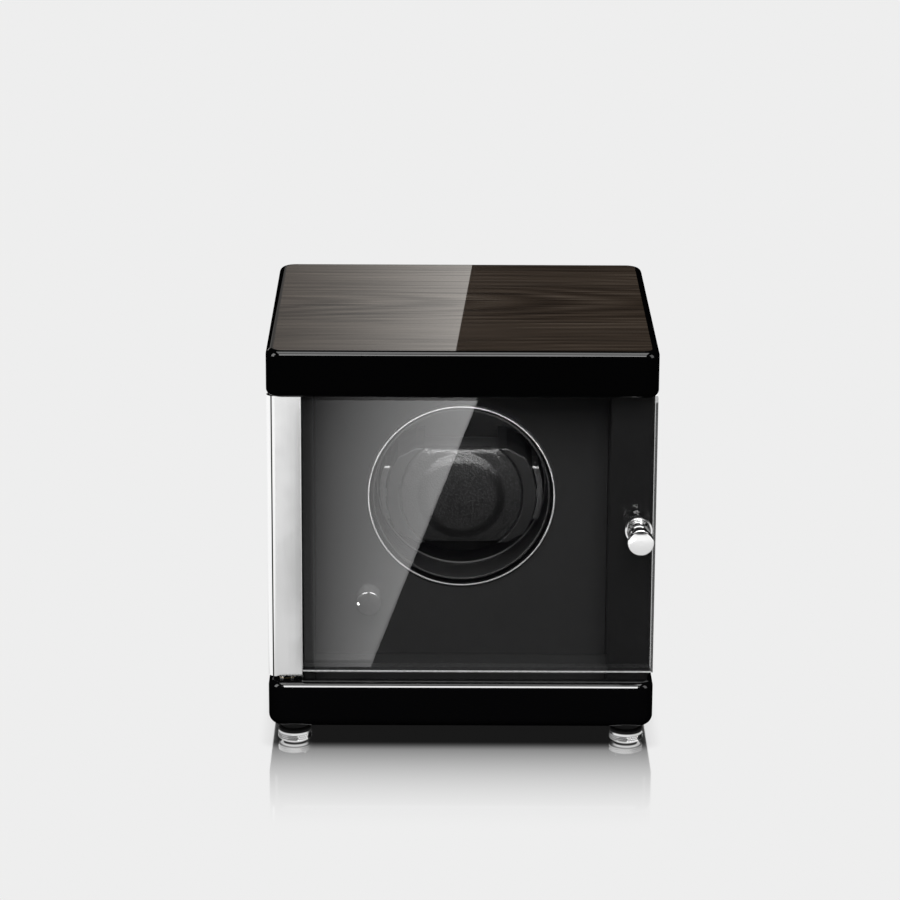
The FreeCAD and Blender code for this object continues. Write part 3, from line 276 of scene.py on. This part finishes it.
def smear_rough(look, low, high):
    """The roughness of wiped metal, with faint smears."""
    return look.fit(look.noise(90, 4, 0.6), 0.3, 0.75, low, high)


def polished_metal(name, colour, low, high):
    """Plated and polished metal with faint wiping marks."""
    look = Surface(name, Base_Color=opaque(colour), Metallic=1.0)
    smear = look.noise(90, 4, 0.6, (1, 1, 0.5))
    fine = look.noise(2400, 2, 0.5)
    rough = look.fit(smear, 0.3, 0.75, low, high)
    return look.set(Roughness=rough, Normal=look.bump(fine, 0.002 * MM, 0.25))


def knob_metal():
    """Polished chrome with faint wiping marks, flat in the very middle of the head.

    The numbers of the mix are its factor and its two vector sockets.
    """
    look = Surface("knob_chrome", Base_Color=opaque(grey(0.96)), Metallic=1.0)
    low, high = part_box("door_knob")
    middle = (low + high) / 2
    away = look.length(look.offset("X", middle.x), look.offset("Z", middle.z))
    front = look.fit(look.axis("Y"), low.y + 0.5 * MM, low.y + 0.3 * MM)
    face = look.math("MULTIPLY", look.fit(away, 1.3 * MM, 0.9 * MM), front)
    flat = look.add("ShaderNodeNormalMap", {"Color": (0.5, 0.0, 0.5, 1)}, space="OBJECT").outputs["Normal"]
    marks = look.bump(look.noise(2400, 2, 0.5), 0.002 * MM, 0.25)
    normal = look.add("ShaderNodeMix", {0: face, 4: marks, 5: flat}, data_type="VECTOR").outputs[1]
    return look.set(Roughness=smear_rough(look, 0.09, 0.14), Normal=normal)


def ring_metal():
    """Chrome that is bright on a thin outer bead and near black inward of it."""
    look = Surface("bezel_chrome", Metallic=1.0)
    low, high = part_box("bezel_ring")
    middle = (low + high) / 2
    away = look.length(look.offset("X", middle.x), look.offset("Z", middle.z))
    bead = (high.x - low.x) / 2 - 0.9 * MM
    colour = look.mix(look.fit(away, bead - 0.1 * MM, bead + 0.1 * MM), grey(0.02), grey(0.96))
    return look.set(Base_Color=colour, Roughness=smear_rough(look, 0.30, 0.34))


def drawn_metal(name, colour, stretch, low, high):
    """Metal with drawn or turned lines along one way."""
    look = Surface(name, Metallic=1.0)
    lines = look.noise(700, 3, 0.6, stretch)
    tint = look.mix(lines, darker(colour, 0.86), colour)
    rough = look.fit(look.noise(45, 3, 0.5), 0.3, 0.7, low, high)
    return look.set(Base_Color=tint, Roughness=rough, Normal=look.bump(lines, 0.006 * MM, 0.35))


def profile_metal():
    """Bright drawn aluminium, with painted shade in its narrow groove."""
    look = Surface("profile_aluminium", Metallic=1.0)
    lines = look.noise(700, 3, 0.6, (1, 1, 0.02))
    low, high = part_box("hinge_profile")
    beside = look.math("ABSOLUTE", look.offset("X", low.x + 2.3 * MM))
    front = look.fit(look.axis("Y"), (low.y + high.y) / 2, low.y + 2.5 * MM)
    # Painted shade: the narrow groove is coloured near black.
    groove = look.math("MULTIPLY", look.fit(beside, 0.40 * MM, 0.26 * MM), front)
    tint = look.mix(groove, look.mix(lines, grey(0.88), grey(0.98)), grey(0.03))
    rough = look.fit(look.noise(45, 3, 0.5), 0.3, 0.7, 0.10, 0.16)
    return look.set(Base_Color=tint, Roughness=rough, Normal=look.bump(lines, 0.002 * MM, 0.35))


def foot_metal():
    """A chrome foot, with painted shade on its top under the base: black, dull and not metal from 5.4 mm
    up.
    """
    look = Surface("foot_chrome")
    # Painted shade: above 5.4 mm the foot is black, dull and not metal.
    painted_shade_top = look.fit(look.axis("Z"), 5.4 * MM, 5.5 * MM)
    smear = look.noise(120, 3, 0.6)
    rough = look.math("MULTIPLY_ADD", painted_shade_top, 0.8, look.fit(smear, 0.3, 0.7, 0.04, 0.10))
    colour = look.mix(painted_shade_top, grey(0.95), grey(0.003))
    metal = look.math("SUBTRACT", 1.0, painted_shade_top)
    normal = look.bump(smear, 0.02 * MM, 0.3)
    return look.set(Base_Color=colour, Metallic=metal, Roughness=rough, Normal=normal)


def knurl_metal():
    """Polished chrome, with painted shade in the valleys of the knurl."""
    look = Surface("knurl_chrome", Metallic=1.0)
    height = look.add("ShaderNodeAttribute", attribute_name="height").outputs["Fac"]
    # Painted shade: dark in the valleys, bright at the tips.
    colour = look.mix(look.fit(height, 0.0, 0.25), grey(0.12), grey(0.95))
    return look.set(Base_Color=colour, Roughness=smear_rough(look, 0.06, 0.12))


# Plastic and glass

def spark(look, depth, scale=1400):
    """The fine spark texture of moulded plastic."""
    return look.bump(look.noise(scale, 2, 0.5), depth, 0.4)


def moulded(name, colour, low, high, depth=0.01 * MM, scale=1400):
    """Moulded plastic with a fine spark texture and uneven shine."""
    look = Surface(name)
    patch = look.noise(60, 3, 0.5)
    tint = look.mix(patch, darker(colour, 0.88), colour)
    rough = look.fit(patch, 0.3, 0.7, low, high)
    return look.set(Base_Color=tint, Roughness=rough, Normal=spark(look, depth, scale))


def selector_plastic():
    """Gloss black plastic with a small white dot on the front, off centre."""
    look = Surface("selector_plastic")
    low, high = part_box("selector_knob")
    middle = (low + high) / 2
    away = look.length(look.offset("X", middle.x - 4.9 * MM), look.offset("Z", middle.z))
    front = look.fit(look.axis("Y"), low.y + 1.5 * MM, low.y + 1.2 * MM)
    dot = look.math("MULTIPLY", look.fit(away, 0.85 * MM, 0.70 * MM), front)
    patch = look.noise(60, 3, 0.5)
    colour = look.mix(dot, look.mix(patch, grey(0.010), grey(0.013)), (0.80, 0.80, 0.78))
    rough = look.fit(patch, 0.3, 0.7, 0.16, 0.26)
    return look.set(Base_Color=colour, Roughness=rough, Normal=spark(look, 0.002 * MM))


def cup_plastic():
    """Black moulded plastic, with painted highlights along the inner edge of the cup's step and on the
    rails' upper ends.
    """
    look = Surface("cup_plastic")
    low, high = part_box("rotor_drum")
    middle = (low + high) / 2
    rise = look.offset("Z", middle.z)
    away = look.length(look.offset("X", middle.x), rise)
    inner = (high.x - low.x) / 2 - 2.6 * MM
    # Painted highlight: a thin grey line along the inner edge of the cup's step.
    from_step = look.math("ABSOLUTE", look.offset("Y", low.y + 20 * MM))
    from_wall = look.fit(away, inner + 0.8 * MM, inner + 0.5 * MM)
    edge = look.math("MULTIPLY", look.fit(from_step, 0.5 * MM, 0.3 * MM), from_wall)
    # Painted highlight: light grey patches on the rails' upper front ends.
    from_rail = look.math("ABSOLUTE", look.offset("Y", low.y + 4 * MM))
    upper = look.fit(rise, 11.8 * MM, 12.2 * MM)
    rail_end_highlight = look.math("MULTIPLY", look.fit(from_rail, 0.4 * MM, 0.2 * MM), upper)
    rail_end_highlight = look.math("MULTIPLY", rail_end_highlight, look.fit(away, inner - 0.3 * MM, inner - 0.5 * MM))
    patch = look.noise(60, 3, 0.5)
    colour = look.mix(edge, look.mix(patch, grey(0.019), grey(0.022)), grey(0.22))
    colour = look.mix(rail_end_highlight, colour, grey(0.40))
    rough = look.fit(patch, 0.3, 0.7, 0.34, 0.48)
    return look.set(Base_Color=colour, Roughness=rough, Normal=spark(look, 0.01 * MM))


def circuit_board():
    """Solder mask over copper tracks."""
    look = Surface("board_green", Roughness=0.35)
    tracks = {"Vector": look.place((1, 0.001, 1)), "Scale": 140.0, "Mortar Size": 0.06}
    line = look.add("ShaderNodeTexBrick", tracks).outputs["Fac"]
    fleck = look.noise(300, 2, 0.5)
    mask = look.mix(fleck, (0.008, 0.07, 0.022), (0.012, 0.10, 0.032))
    colour = look.mix(line, mask, (0.03, 0.17, 0.07))
    return look.set(Base_Color=colour, Normal=look.bump(line, 0.03 * MM, 0.5))


def smoked_glass():
    """Polished smoked glass, see-through, with lighter ground edges, and painted shade on them where they
    stand upright and along the top under the lid.
    """
    look = Surface("smoked_glass", IOR=2.6)
    normal = look.add("ShaderNodeTexCoord").outputs["Normal"]
    facing = look.add("ShaderNodeSeparateXYZ", {"Vector": normal})
    low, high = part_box("door_glass")
    front = look.fit(look.axis("Y"), (low.y + high.y) / 2, low.y + 1.5 * MM)
    # Painted shade: the edge along the top, under the lid, is not made a ground edge and keeps the dark
    # glass colour.
    under = look.fit(look.axis("Z"), high.z - 1.6 * MM, high.z - 2.4 * MM)
    edge = look.fit(look.math("ABSOLUTE", facing.outputs["Y"]), 0.995, 0.9, 0.0, 1.0, False)
    edge = look.math("MULTIPLY", edge, look.math("MULTIPLY", front, under))
    ground = look.noise(500, 3, 0.5)
    clear = look.fit(look.noise(18, 3, 0.5), 0.3, 0.7, 0.004, 0.016)
    rough = look.math("MULTIPLY_ADD", look.math("MULTIPLY", edge, ground), 0.5, clear)
    # Painted shade: upright edges are coloured darker than the lying ones.
    upright = look.fit(look.math("ABSOLUTE", facing.outputs["X"]), 0.2, 0.5)
    shade = look.mix(upright, (0.80, 0.81, 0.81), grey(0.07))
    colour = look.mix(edge, (0.004, 0.004, 0.0045), shade)
    alpha = look.fit(edge, 0.0, 1.0, 0.30, 0.92, False)
    return look.set(Base_Color=colour, Roughness=rough, Alpha=alpha)


# Leather

def leather(name, colour, scale, depth, low, high, crease_tint=0.45, painted_shade=None, coat=0.0):
    """Grained leather: pebbles with creases between them, and a soft sheen."""
    look = Surface(name, Specular_IOR_Level=0.45, Sheen_Weight=0.03, Sheen_Roughness=0.5,
                   Coat_Weight=coat, Coat_Roughness=0.16)
    warp = look.noise(scale * 0.35, 3, 0.5)
    crease = look.fit(look.cells(scale), 0.15, 0.75, 1.0, 0.0)
    fine = look.noise(scale * 3.2, 3, 0.6)
    height = look.math("MULTIPLY_ADD", fine, 0.35, look.math("MULTIPLY_ADD", warp, 0.4, crease))
    tint = look.mix(crease, darker(colour, crease_tint), colour)
    if painted_shade:
        # Painted shade: darker where the given mask is high.
        tint = look.mix(painted_shade(look), tint, darker(colour, 0.25))
    rough = look.fit(fine, 0.3, 0.7, low, high)
    normal = look.bump(height, depth, 0.7)
    return look.set(Base_Color=tint, Roughness=rough, Normal=normal, Coat_Normal=normal)


def seat_painted_shade(look):
    """Where the cover gets painted shade: in the ring round the cushion's round seat, and behind its front.
    """
    low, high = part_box("watch_cushion")
    middle = (low + high) / 2
    away = look.length(look.offset("Z", middle.z), look.axis("X"))
    painted_shade = look.math("MULTIPLY", look.fit(away, 14.5 * MM, 18.0 * MM), look.fit(away, 21.5 * MM, 19.5 * MM))
    painted_shade = look.math("MULTIPLY", painted_shade, look.fit(look.axis("Y"), low.y + 5 * MM, low.y + 4 * MM))
    return look.math("MAXIMUM", painted_shade, look.fit(look.axis("Y"), low.y + 5 * MM, low.y + 7 * MM))


# Material of each slot, and of the pieces that have one of their own

MATERIALS = {
    "black_lacquer": black_lacquer(),
    "veneer": veneer(),
    "raw_board": board_wood(),
    "back_board": moulded("back_board", grey(0.012), 0.32, 0.46, 0.02 * MM, 900),
    "chrome": polished_metal("chrome", (0.86, 0.86, 0.87), 0.03, 0.08),
    "satin_steel": drawn_metal("satin_steel", grey(0.58), (1, 0.05, 1), 0.24, 0.36),
    "zinc_screw": drawn_metal("zinc_screw", (0.52, 0.52, 0.50), (1, 0.2, 1), 0.28, 0.42),
    "dark_screw": moulded("dark_screw", grey(0.02), 0.25, 0.40),
    "rubber": moulded("rubber", grey(0.016), 0.70, 0.85, 0.04 * MM, 700),
    "smoked_glass": smoked_glass(),
    "brass": drawn_metal("brass", (0.70, 0.52, 0.23), (1, 0.1, 1), 0.25, 0.38),
    "magnet": polished_metal("magnet", (0.66, 0.65, 0.63), 0.12, 0.25),
    "covered_fascia": leather("covered_fascia", grey(0.036), 1500, 0.015 * MM, 0.55, 0.68, 0.8),
    "black_plastic": moulded("black_plastic", grey(0.022), 0.34, 0.48),
    "gloss_black_plastic": moulded("gloss_black_plastic", grey(0.018), 0.16, 0.26, 0.002 * MM),
    "white_plastic": moulded("white_plastic", (0.74, 0.73, 0.68), 0.38, 0.50),
    "aluminium": drawn_metal("aluminium", (0.62, 0.62, 0.63), (0.05, 1, 1), 0.28, 0.40),
    "board_green": circuit_board(),
    "cushion_cover": leather("cushion_cover", grey(0.042), 1100, 0.1 * MM, 0.30, 0.40,
                             painted_shade=seat_painted_shade, coat=0.35),
    "lead_cover": moulded("lead_cover", grey(0.012), 0.45, 0.60),
}
OWN_MATERIALS = {
    "hinge_profile": profile_metal(),
    "door_knob": knob_metal(),
    "bezel_ring": ring_metal(),
    "base_slab": base_lacquer(),
    "left_wall": wall_lacquer(),
    "right_wall": wall_lacquer(),
    "selector_knob": selector_plastic(),
    "rotor_drum": cup_plastic(),
    **dict.fromkeys(FEET, foot_metal()),
}


def dress(obj, surface):
    obj.data.materials.clear()
    obj.data.materials.append(surface.material)


def dress_nodes():
    """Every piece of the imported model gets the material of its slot, or one of its own."""
    slots = {entry["node"]: entry["material_slot"] for entry in frame["record"]["subparts"]}
    for name, obj in NODES.items():
        dress(obj, OWN_MATERIALS.get(name, MATERIALS[slots[name]]))


def linked(name, mesh, surface):
    """A new object of the scene with its material."""
    obj = bpy.data.objects.new(name, mesh)
    bpy.context.scene.collection.objects.link(obj)
    dress(obj, surface)
    return obj


# Padded cushion

SWELL = 0.6 * MM
VOXEL = 1.1 * MM
HELD_RIM = 3 * MM
CLOTH_STEPS = 20
CLOTH_PRESSURE = 4.0


def cushion():
    """The padded cushion: the solid's form remeshed, swollen by cloth pressure and smoothed."""
    solid = NODES["watch_cushion"]
    obj = linked("padded_cushion", solid.data.copy(), MATERIALS["cushion_cover"])
    obj.matrix_world = solid.matrix_world.copy()
    remesh = obj.modifiers.new("remesh", "REMESH")
    remesh.mode = "VOXEL"
    remesh.voxel_size = VOXEL
    apply_all(obj)
    swell(obj, *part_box("watch_cushion"))
    smooth = obj.modifiers.new("smooth", "SUBSURF")
    smooth.levels = smooth.render_levels = 1
    apply_all(obj)
    obj.data.shade_smooth()
    dress(obj, MATERIALS["cushion_cover"])
    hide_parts("watch_cushion")
    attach(obj, "cushion")


def apply_all(obj):
    """The modified shape becomes the mesh, and no modifier is left."""
    shown = obj.evaluated_get(bpy.context.evaluated_depsgraph_get())
    mesh = bpy.data.meshes.new_from_object(shown)
    obj.modifiers.clear()
    obj.data = mesh


def swell(obj, low, high):
    """Cloth pressure lifts the cover a little, except where the cheeks hold it."""
    before = [v.co.copy() for v in obj.data.vertices]
    cloth = obj.modifiers.new("cloth", "CLOTH")
    cloth.settings.use_pressure = True
    cloth.settings.uniform_pressure_force = CLOTH_PRESSURE
    cloth.settings.effector_weights.gravity = 0.0
    scene = bpy.context.scene
    for step in range(CLOTH_STEPS):
        scene.frame_set(step + 1)
    apply_all(obj)
    scene.frame_set(1)
    middle = (low + high) / 2
    hold = (high.x - low.x) / 2
    for vertex, start in zip(obj.data.vertices, before):
        move = vertex.co - start
        reach = Vector((start.x - middle.x, start.z - middle.z)).length
        limit = SWELL * min(1.0, max(0.0, (hold - reach) / HELD_RIM))
        if move.length > limit:
            move = move * (limit / move.length)
        vertex.co = start + move


# Knurled bands of the feet

KNURL_LOW = 1.7 * MM
KNURL_HIGH = 4.3 * MM
KNURL_ROWS = 3
KNURL_COLUMNS = 40
KNURL_VALLEY = 7.67 * MM
KNURL_PEAK = 7.98 * MM
KNURL_BORE = 6.3 * MM


def knurl_mesh(name, middle):
    """A short sleeve round a foot, with slanting rows of small pyramids on its outside."""
    points = []
    faces = []
    tips = []

    def ring(radius, z, turn):
        start = len(points)
        for column in range(KNURL_COLUMNS):
            angle = 2 * math.pi * (column + turn) / KNURL_COLUMNS
            points.append((middle.x + radius * math.cos(angle), middle.y + radius * math.sin(angle), z))
        return [start + column for column in range(KNURL_COLUMNS)]

    rise = (KNURL_HIGH - KNURL_LOW) / KNURL_ROWS
    rows = [ring(KNURL_VALLEY, KNURL_LOW + row * rise, row / 2) for row in range(KNURL_ROWS + 1)]
    for row in range(KNURL_ROWS):
        peaks = ring(KNURL_PEAK, KNURL_LOW + (row + 0.5) * rise, row / 2 + 0.75)
        tips += peaks
        for column, peak in enumerate(peaks):
            after = (column + 1) % KNURL_COLUMNS
            corners = [rows[row][column], rows[row][after], rows[row + 1][after], rows[row + 1][column]]
            faces += [(corners[side], corners[(side + 1) % 4], peak) for side in range(4)]
    bottom = ring(KNURL_BORE, KNURL_LOW, 0)
    top = ring(KNURL_BORE, KNURL_HIGH, KNURL_ROWS / 2)
    for column in range(KNURL_COLUMNS):
        after = (column + 1) % KNURL_COLUMNS
        faces.append((rows[0][column], bottom[column], bottom[after], rows[0][after]))
        faces.append((rows[-1][column], rows[-1][after], top[after], top[column]))
        faces.append((bottom[column], top[column], top[after], bottom[after]))
    mesh = bpy.data.meshes.new(name)
    mesh.from_pydata(points, [], faces)
    mesh.update()
    height = mesh.attributes.new("height", "FLOAT", "POINT")
    for tip in tips:
        height.data[tip].value = 1.0
    return mesh


def knurls():
    """The knurled band of each foot, which moves with the foot's body."""
    surface = knurl_metal()
    for foot, name in zip(FEET, KNURLS):
        low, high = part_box(foot)
        obj = linked(name, knurl_mesh(name, (low + high) / 2), surface)
        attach(obj, body_of(NODES[foot])[0])


# Stage

FLOOR_GLOW = 0.855
FLOOR_REACH = 7000
ROOM_REACH = 6000
MIRROR_TINT = 0.9
MIRROR_SHARE = 0.86
SHADE_HALF_WIDTH = 84 * MM
SHADE_HALF_DEPTH = 78 * MM
CASE_MIDDLE = 6 * MM
BRIGHT_METAL = [*FEET, *KNURLS, "hinge_profile", "door_knob", "hinge_washers", "bezel_ring"]
INSIDE = ["fascia", "left_wall", "right_wall", "rotor_drum", "selector_knob", "left_cheek", "right_cheek",
          "bezel_ring", "padded_cushion"]


def only_for(source, names):
    """A light or card that lights only the named objects, as a flag or a snoot does in a studio."""
    group = bpy.data.collections.new(source.name + "_lights")
    for name in names:
        group.objects.link(bpy.data.objects[name])
    source.light_linking.receiver_collection = group


def glow_surface(name, power, colour=(1, 1, 1)):
    """A surface that shines with a power worked out by power(surface), or with a plain number."""
    look = Surface(name)
    look.nodes.remove(look.shader)
    strength = power(look) if callable(power) else power
    glow = look.add("ShaderNodeEmission", {"Color": opaque(colour), "Strength": strength})
    look.links.new(glow.outputs[0], look.nodes["Material Output"].inputs["Surface"])
    return look


def floor_surface():
    """A pale bright floor with a painted shadow under the case, which mirrors the case softly close by."""
    look = Surface("floor")
    look.nodes.remove(look.shader)
    dx = look.math("SUBTRACT", look.math("ABSOLUTE", look.axis("X")), SHADE_HALF_WIDTH)
    dy = look.math("SUBTRACT", look.math("ABSOLUTE", look.offset("Y", CASE_MIDDLE)), SHADE_HALF_DEPTH)
    away = look.length(look.math("MAXIMUM", dx, 0.0), look.math("MAXIMUM", dy, 0.0))
    # Painted shadow: the glow drops to 8% under the case and rises over 12 mm around it.
    light = look.fit(away, 0.0, 12 * MM, 0.08, 1.0)
    near = look.fit(away, 0.0, 112 * MM, 1.0, 0.0, False)
    share = look.math("MULTIPLY", look.math("MULTIPLY", near, near), MIRROR_SHARE)
    glow = look.add("ShaderNodeEmission", {"Color": opaque(grey(FLOOR_GLOW)), "Strength": light})
    mirror = look.add("ShaderNodeBsdfAnisotropic", {"Color": opaque(grey(MIRROR_TINT)), "Roughness": 0.07})
    both = look.add("ShaderNodeMixShader", {0: share, 1: glow.outputs[0], 2: mirror.outputs[0]})
    look.links.new(both.outputs[0], look.nodes["Material Output"].inputs["Surface"])
    return look


def staged(name, mesh, surface):
    obj = linked(name, mesh, surface)
    return obj


def quad(name, corners, surface):
    mesh = bpy.data.meshes.new(name)
    mesh.from_pydata([Vector(c) * MM for c in corners], [], [tuple(range(len(corners)))])
    mesh.update()
    return staged(name, mesh, surface)


def square(reach, z):
    return [(-reach, -reach, z), (reach, -reach, z), (reach, reach, z), (-reach, reach, z)]


def floor():
    obj = quad("floor", square(FLOOR_REACH, 0), floor_surface())
    obj.visible_glossy = False
    obj.visible_shadow = False


def unseen(obj):
    """Only shiny surfaces see it."""
    obj.visible_camera = False
    obj.visible_diffuse = False
    obj.visible_shadow = False
    obj.visible_transmission = False
    return obj


def between(look, left, right, along):
    """How far a place is from one slanting line, 0, to another, 1. A line is two points (x, y or z)."""
    place = []
    for (x0, a0), (x1, a1) in (left, right):
        slope = (x1 - x0) / (a1 - a0)
        place.append(look.math("MULTIPLY_ADD", look.axis(along), slope, (x0 - slope * a0) * MM))
    width = look.math("SUBTRACT", place[1], place[0])
    return look.math("DIVIDE", look.math("SUBTRACT", look.axis("X"), place[0]), width)


# Edges of the cards, on the floor in front for the door glass, as (x, y), and behind for the lid, as (x, z)

GLASS_NEAR = -170
GLASS_FAR = -679
GLASS_LEFT = ((-72.7, GLASS_NEAR), (-91.5, GLASS_FAR))
GLASS_RIGHT = ((-44.0, GLASS_NEAR), (16.0, GLASS_FAR))
GLASS_OUTER = ((-97, GLASS_FAR), (-77, GLASS_NEAR))
LID_BACK = 500
LID_LOW = 283
LID_HIGH = 360
LID_LEFT = ((-106.5, LID_LOW), (-120.5, LID_HIGH))
LID_RIGHT = ((11.2, LID_LOW), (-2.6, LID_HIGH))
LID_OUTER = ((-400, LID_HIGH), (-400, LID_LOW))


def glass_power(look):
    """Brighter to the right, more so far away, and faint left of the left line."""
    share = between(look, GLASS_LEFT, GLASS_RIGHT, "Y")
    y = look.axis("Y")
    low = look.fit(y, GLASS_NEAR * MM, GLASS_FAR * MM, 0.43, 0.13, False)
    low = look.math("MULTIPLY", low, look.fit(share, -0.02, 0.02, 0.45, 1.0))
    rise = look.fit(y, GLASS_NEAR * MM, GLASS_FAR * MM, 1.22, 2.73, False)
    return look.math("MULTIPLY_ADD", look.math("MAXIMUM", share, 0.0), rise, low)


def lid_power(look):
    """Brighter to the right, slowly and then faster."""
    share = between(look, LID_LEFT, LID_RIGHT, "Z")
    bend = look.math("MULTIPLY_ADD", share, 0.55, 0.30)
    return look.math("MAXIMUM", look.math("MULTIPLY_ADD", share, bend, 0.21), 0.15)


def metal_power(look):
    """Dark under the case, bright close before the feet and far to the front and left, and dim behind."""
    x, y = look.axis("X"), look.axis("Y")
    aside = look.math("ABSOLUTE", x)
    depth = look.math("ABSOLUTE", look.math("SUBTRACT", y, CASE_MIDDLE))
    outside = look.math("MAXIMUM", look.fit(aside, 72 * MM, 85 * MM), look.fit(depth, 66 * MM, 82 * MM))
    clear = look.fit(outside, 0.0, 1.0, 0.05, 1.0, False)
    front = look.fit(y, -100 * MM, -700 * MM, 0.60, 1.00, False)
    left = look.fit(x, -120 * MM, -200 * MM, 0.60, 1.00)
    ahead = look.fit(y, -130 * MM, -100 * MM, 0.0, 0.72)
    close = look.math("MULTIPLY", ahead, look.fit(aside, 94 * MM, 88 * MM))
    power = look.math("MAXIMUM", look.math("MAXIMUM", front, left), close)
    dim = look.math("MAXIMUM", look.fit(y, -30 * MM, 60 * MM, 1.0, 0.2), look.fit(x, -100 * MM, -140 * MM))
    return look.math("MULTIPLY", look.math("MULTIPLY", power, clear), dim)


def cards():
    """White cards that the glass, the lid and other shiny pieces mirror, and a white room for the floor."""
    corners = [(x, y, 2) for x, y in (*GLASS_RIGHT, *GLASS_OUTER)]
    glass_card = quad("glass_card", corners, glow_surface("glass_card", glass_power))
    only_for(unseen(glass_card), ["door_glass", "door_knob"])
    corners = [(x, LID_BACK, z) for x, z in (*LID_RIGHT, *LID_OUTER)]
    lid_card = quad("lid_card", corners, glow_surface("lid_card", lid_power, (1.0, 0.965, 0.92)))
    only_for(unseen(lid_card), ["veneer_inlay", "top_slab"])
    metal_card = quad("metal_card", square(ROOM_REACH, -3), glow_surface("metal_card", metal_power))
    only_for(unseen(metal_card), BRIGHT_METAL + ["left_wall", "right_wall", "rear_panel"])
    bpy.ops.mesh.primitive_uv_sphere_add(segments=48, ring_count=24, radius=ROOM_REACH * MM)
    ball = bpy.context.object
    room_glow = glow_surface("white_room", FLOOR_GLOW / MIRROR_TINT)
    white_room = staged("white_room", ball.data.copy(), room_glow)
    only_for(unseen(white_room), ["floor"])
    bpy.data.objects.remove(ball)


def area_light(name, place, aim, size, power, names):
    """A soft box at a place, turned to a point, that lights only the named objects."""
    light = bpy.data.lights.new(name, "AREA")
    light.shape = "RECTANGLE"
    light.size, light.size_y = size[0] * MM, size[1] * MM
    light.energy = power
    obj = bpy.data.objects.new(name, light)
    bpy.context.scene.collection.objects.link(obj)
    obj.location = Vector(place) * MM
    obj.rotation_euler = (Vector(aim) * MM - obj.location).to_track_quat("-Z", "Y").to_euler()
    obj.visible_camera = False
    only_for(obj, names)
    return obj


def lights():
    """Soft boxes for the whole box, and small ones that each light a few pieces."""
    pieces = [*NODES, "padded_cushion"]
    area_light("top_box", (0, -100, 1500), (0, 0, 100), (1300, 1000), 14, pieces)
    for name in FEET + ["door_knob"]:
        pieces.remove(name)
    area_light("left_box", (-1300, -500, 700), (0, 0, 100), (500, 1100), 7, pieces)
    pieces.remove("door_glass")
    area_light("right_box", (1300, -500, 700), (0, 0, 100), (500, 1100), 4, pieces)
    area_light("knob_box", (82, -450, 620), (82, -80, 105), (1100, 300), 1.3, ["door_knob"])
    area_light("inside_box", (0, -1380, 1150), (0, -40, 110), (1000, 900), 56, INSIDE + ["base_slab"])
    area_light("ring_box", (0, -1600, 500), (0, -40, 110), (800, 800), 80, ["bezel_ring"])
    area_light("base_strip", (0, -781, 732), (0, -81, 32), (900, 70), 1.4, ["base_slab"])
    area_light("lid_strip", (0, -700, 850), (0, -81, 192), (900, 330), 6.0, ["top_slab"])
    area_light("foot_box", (0, -600, 140), (0, -70, 4), (900, 150), 0.7, KNURLS)
    area_light("chamber_strip", (0, -64, 151), (0, -41, 128), (130, 6), 0.045,
               ["padded_cushion", "left_cheek", "right_cheek", "rotor_drum"])
    area_light("selector_strip", (-43.6, -58, 92), (-43.6, -50, 62), (70, 20), 0.25, ["selector_knob"])
    for side in (-1, 1):
        area_light("rail_strip", (side * 60, -62, 105), (0, -30, 105), (8, 70), 0.05, ["rotor_drum"])
    glass_edge_light()


def glass_edge_light():
    """A light from below for the ground edges of the glass, which no other piece shades."""
    obj = area_light("glass_edge_box", (0, -572, -400), (0, -72, 100), (800, 300), 3, ["door_glass"])
    obj.visible_glossy = False
    blockers = bpy.data.collections.new("glass_edge_blockers")
    blockers.objects.link(NODES["door_glass"])
    obj.light_linking.blocker_collection = blockers


def world():
    """A dim room, brighter overhead."""
    shading = bpy.data.worlds.new("studio")
    bpy.context.scene.world = shading
    shading.use_nodes = True
    nodes, links = shading.node_tree.nodes, shading.node_tree.links
    way = nodes.new("ShaderNodeTexCoord").outputs["Generated"]
    split = nodes.new("ShaderNodeSeparateXYZ")
    links.new(way, split.inputs[0])
    rise = nodes.new("ShaderNodeMapRange")
    rise.interpolation_type = "SMOOTHSTEP"
    links.new(split.outputs["Z"], rise.inputs["Value"])
    for socket, value in {"From Min": 0.35, "From Max": 0.75, "To Min": 0.02, "To Max": 0.55}.items():
        rise.inputs[socket].default_value = value
    links.new(rise.outputs["Result"], nodes["Background"].inputs["Strength"])
    nodes["Background"].inputs["Color"].default_value = opaque(grey(1.0))


# Camera

CAMERA_PLACE = (-12.55, -1695.0, 619.0)
CAMERA_PITCH = math.radians(16.338)
CAMERA_YAW = math.radians(0.246)
CAMERA_ROLL = math.radians(0.277)
SENSOR_WIDTH = 36.0
LENS = 146.96


def camera():
    """The photograph's view: a long lens from the front, looking down on the box."""
    level = math.cos(CAMERA_PITCH)
    ahead = Vector((math.sin(CAMERA_YAW) * level, math.cos(CAMERA_YAW) * level, -math.sin(CAMERA_PITCH)))
    right = Vector((math.cos(CAMERA_YAW), -math.sin(CAMERA_YAW), 0))
    up = right.cross(ahead)
    side = math.cos(CAMERA_ROLL) * right + math.sin(CAMERA_ROLL) * up
    top = math.cos(CAMERA_ROLL) * up - math.sin(CAMERA_ROLL) * right
    data = bpy.data.cameras.new("camera")
    data.sensor_fit = "HORIZONTAL"
    data.sensor_width = SENSOR_WIDTH
    data.lens = LENS
    data.clip_start, data.clip_end = 0.05, 40.0
    obj = bpy.data.objects.new("camera", data)
    bpy.context.scene.collection.objects.link(obj)
    turn = Matrix((side, top, -ahead)).transposed().to_4x4()
    obj.matrix_world = Matrix.Translation(Vector(CAMERA_PLACE) * MM) @ turn
    bpy.context.scene.camera = obj


dress_nodes()
cushion()
knurls()
floor()
cards()
lights()
world()
camera()
bpy.context.scene.view_settings.view_transform = "Standard"
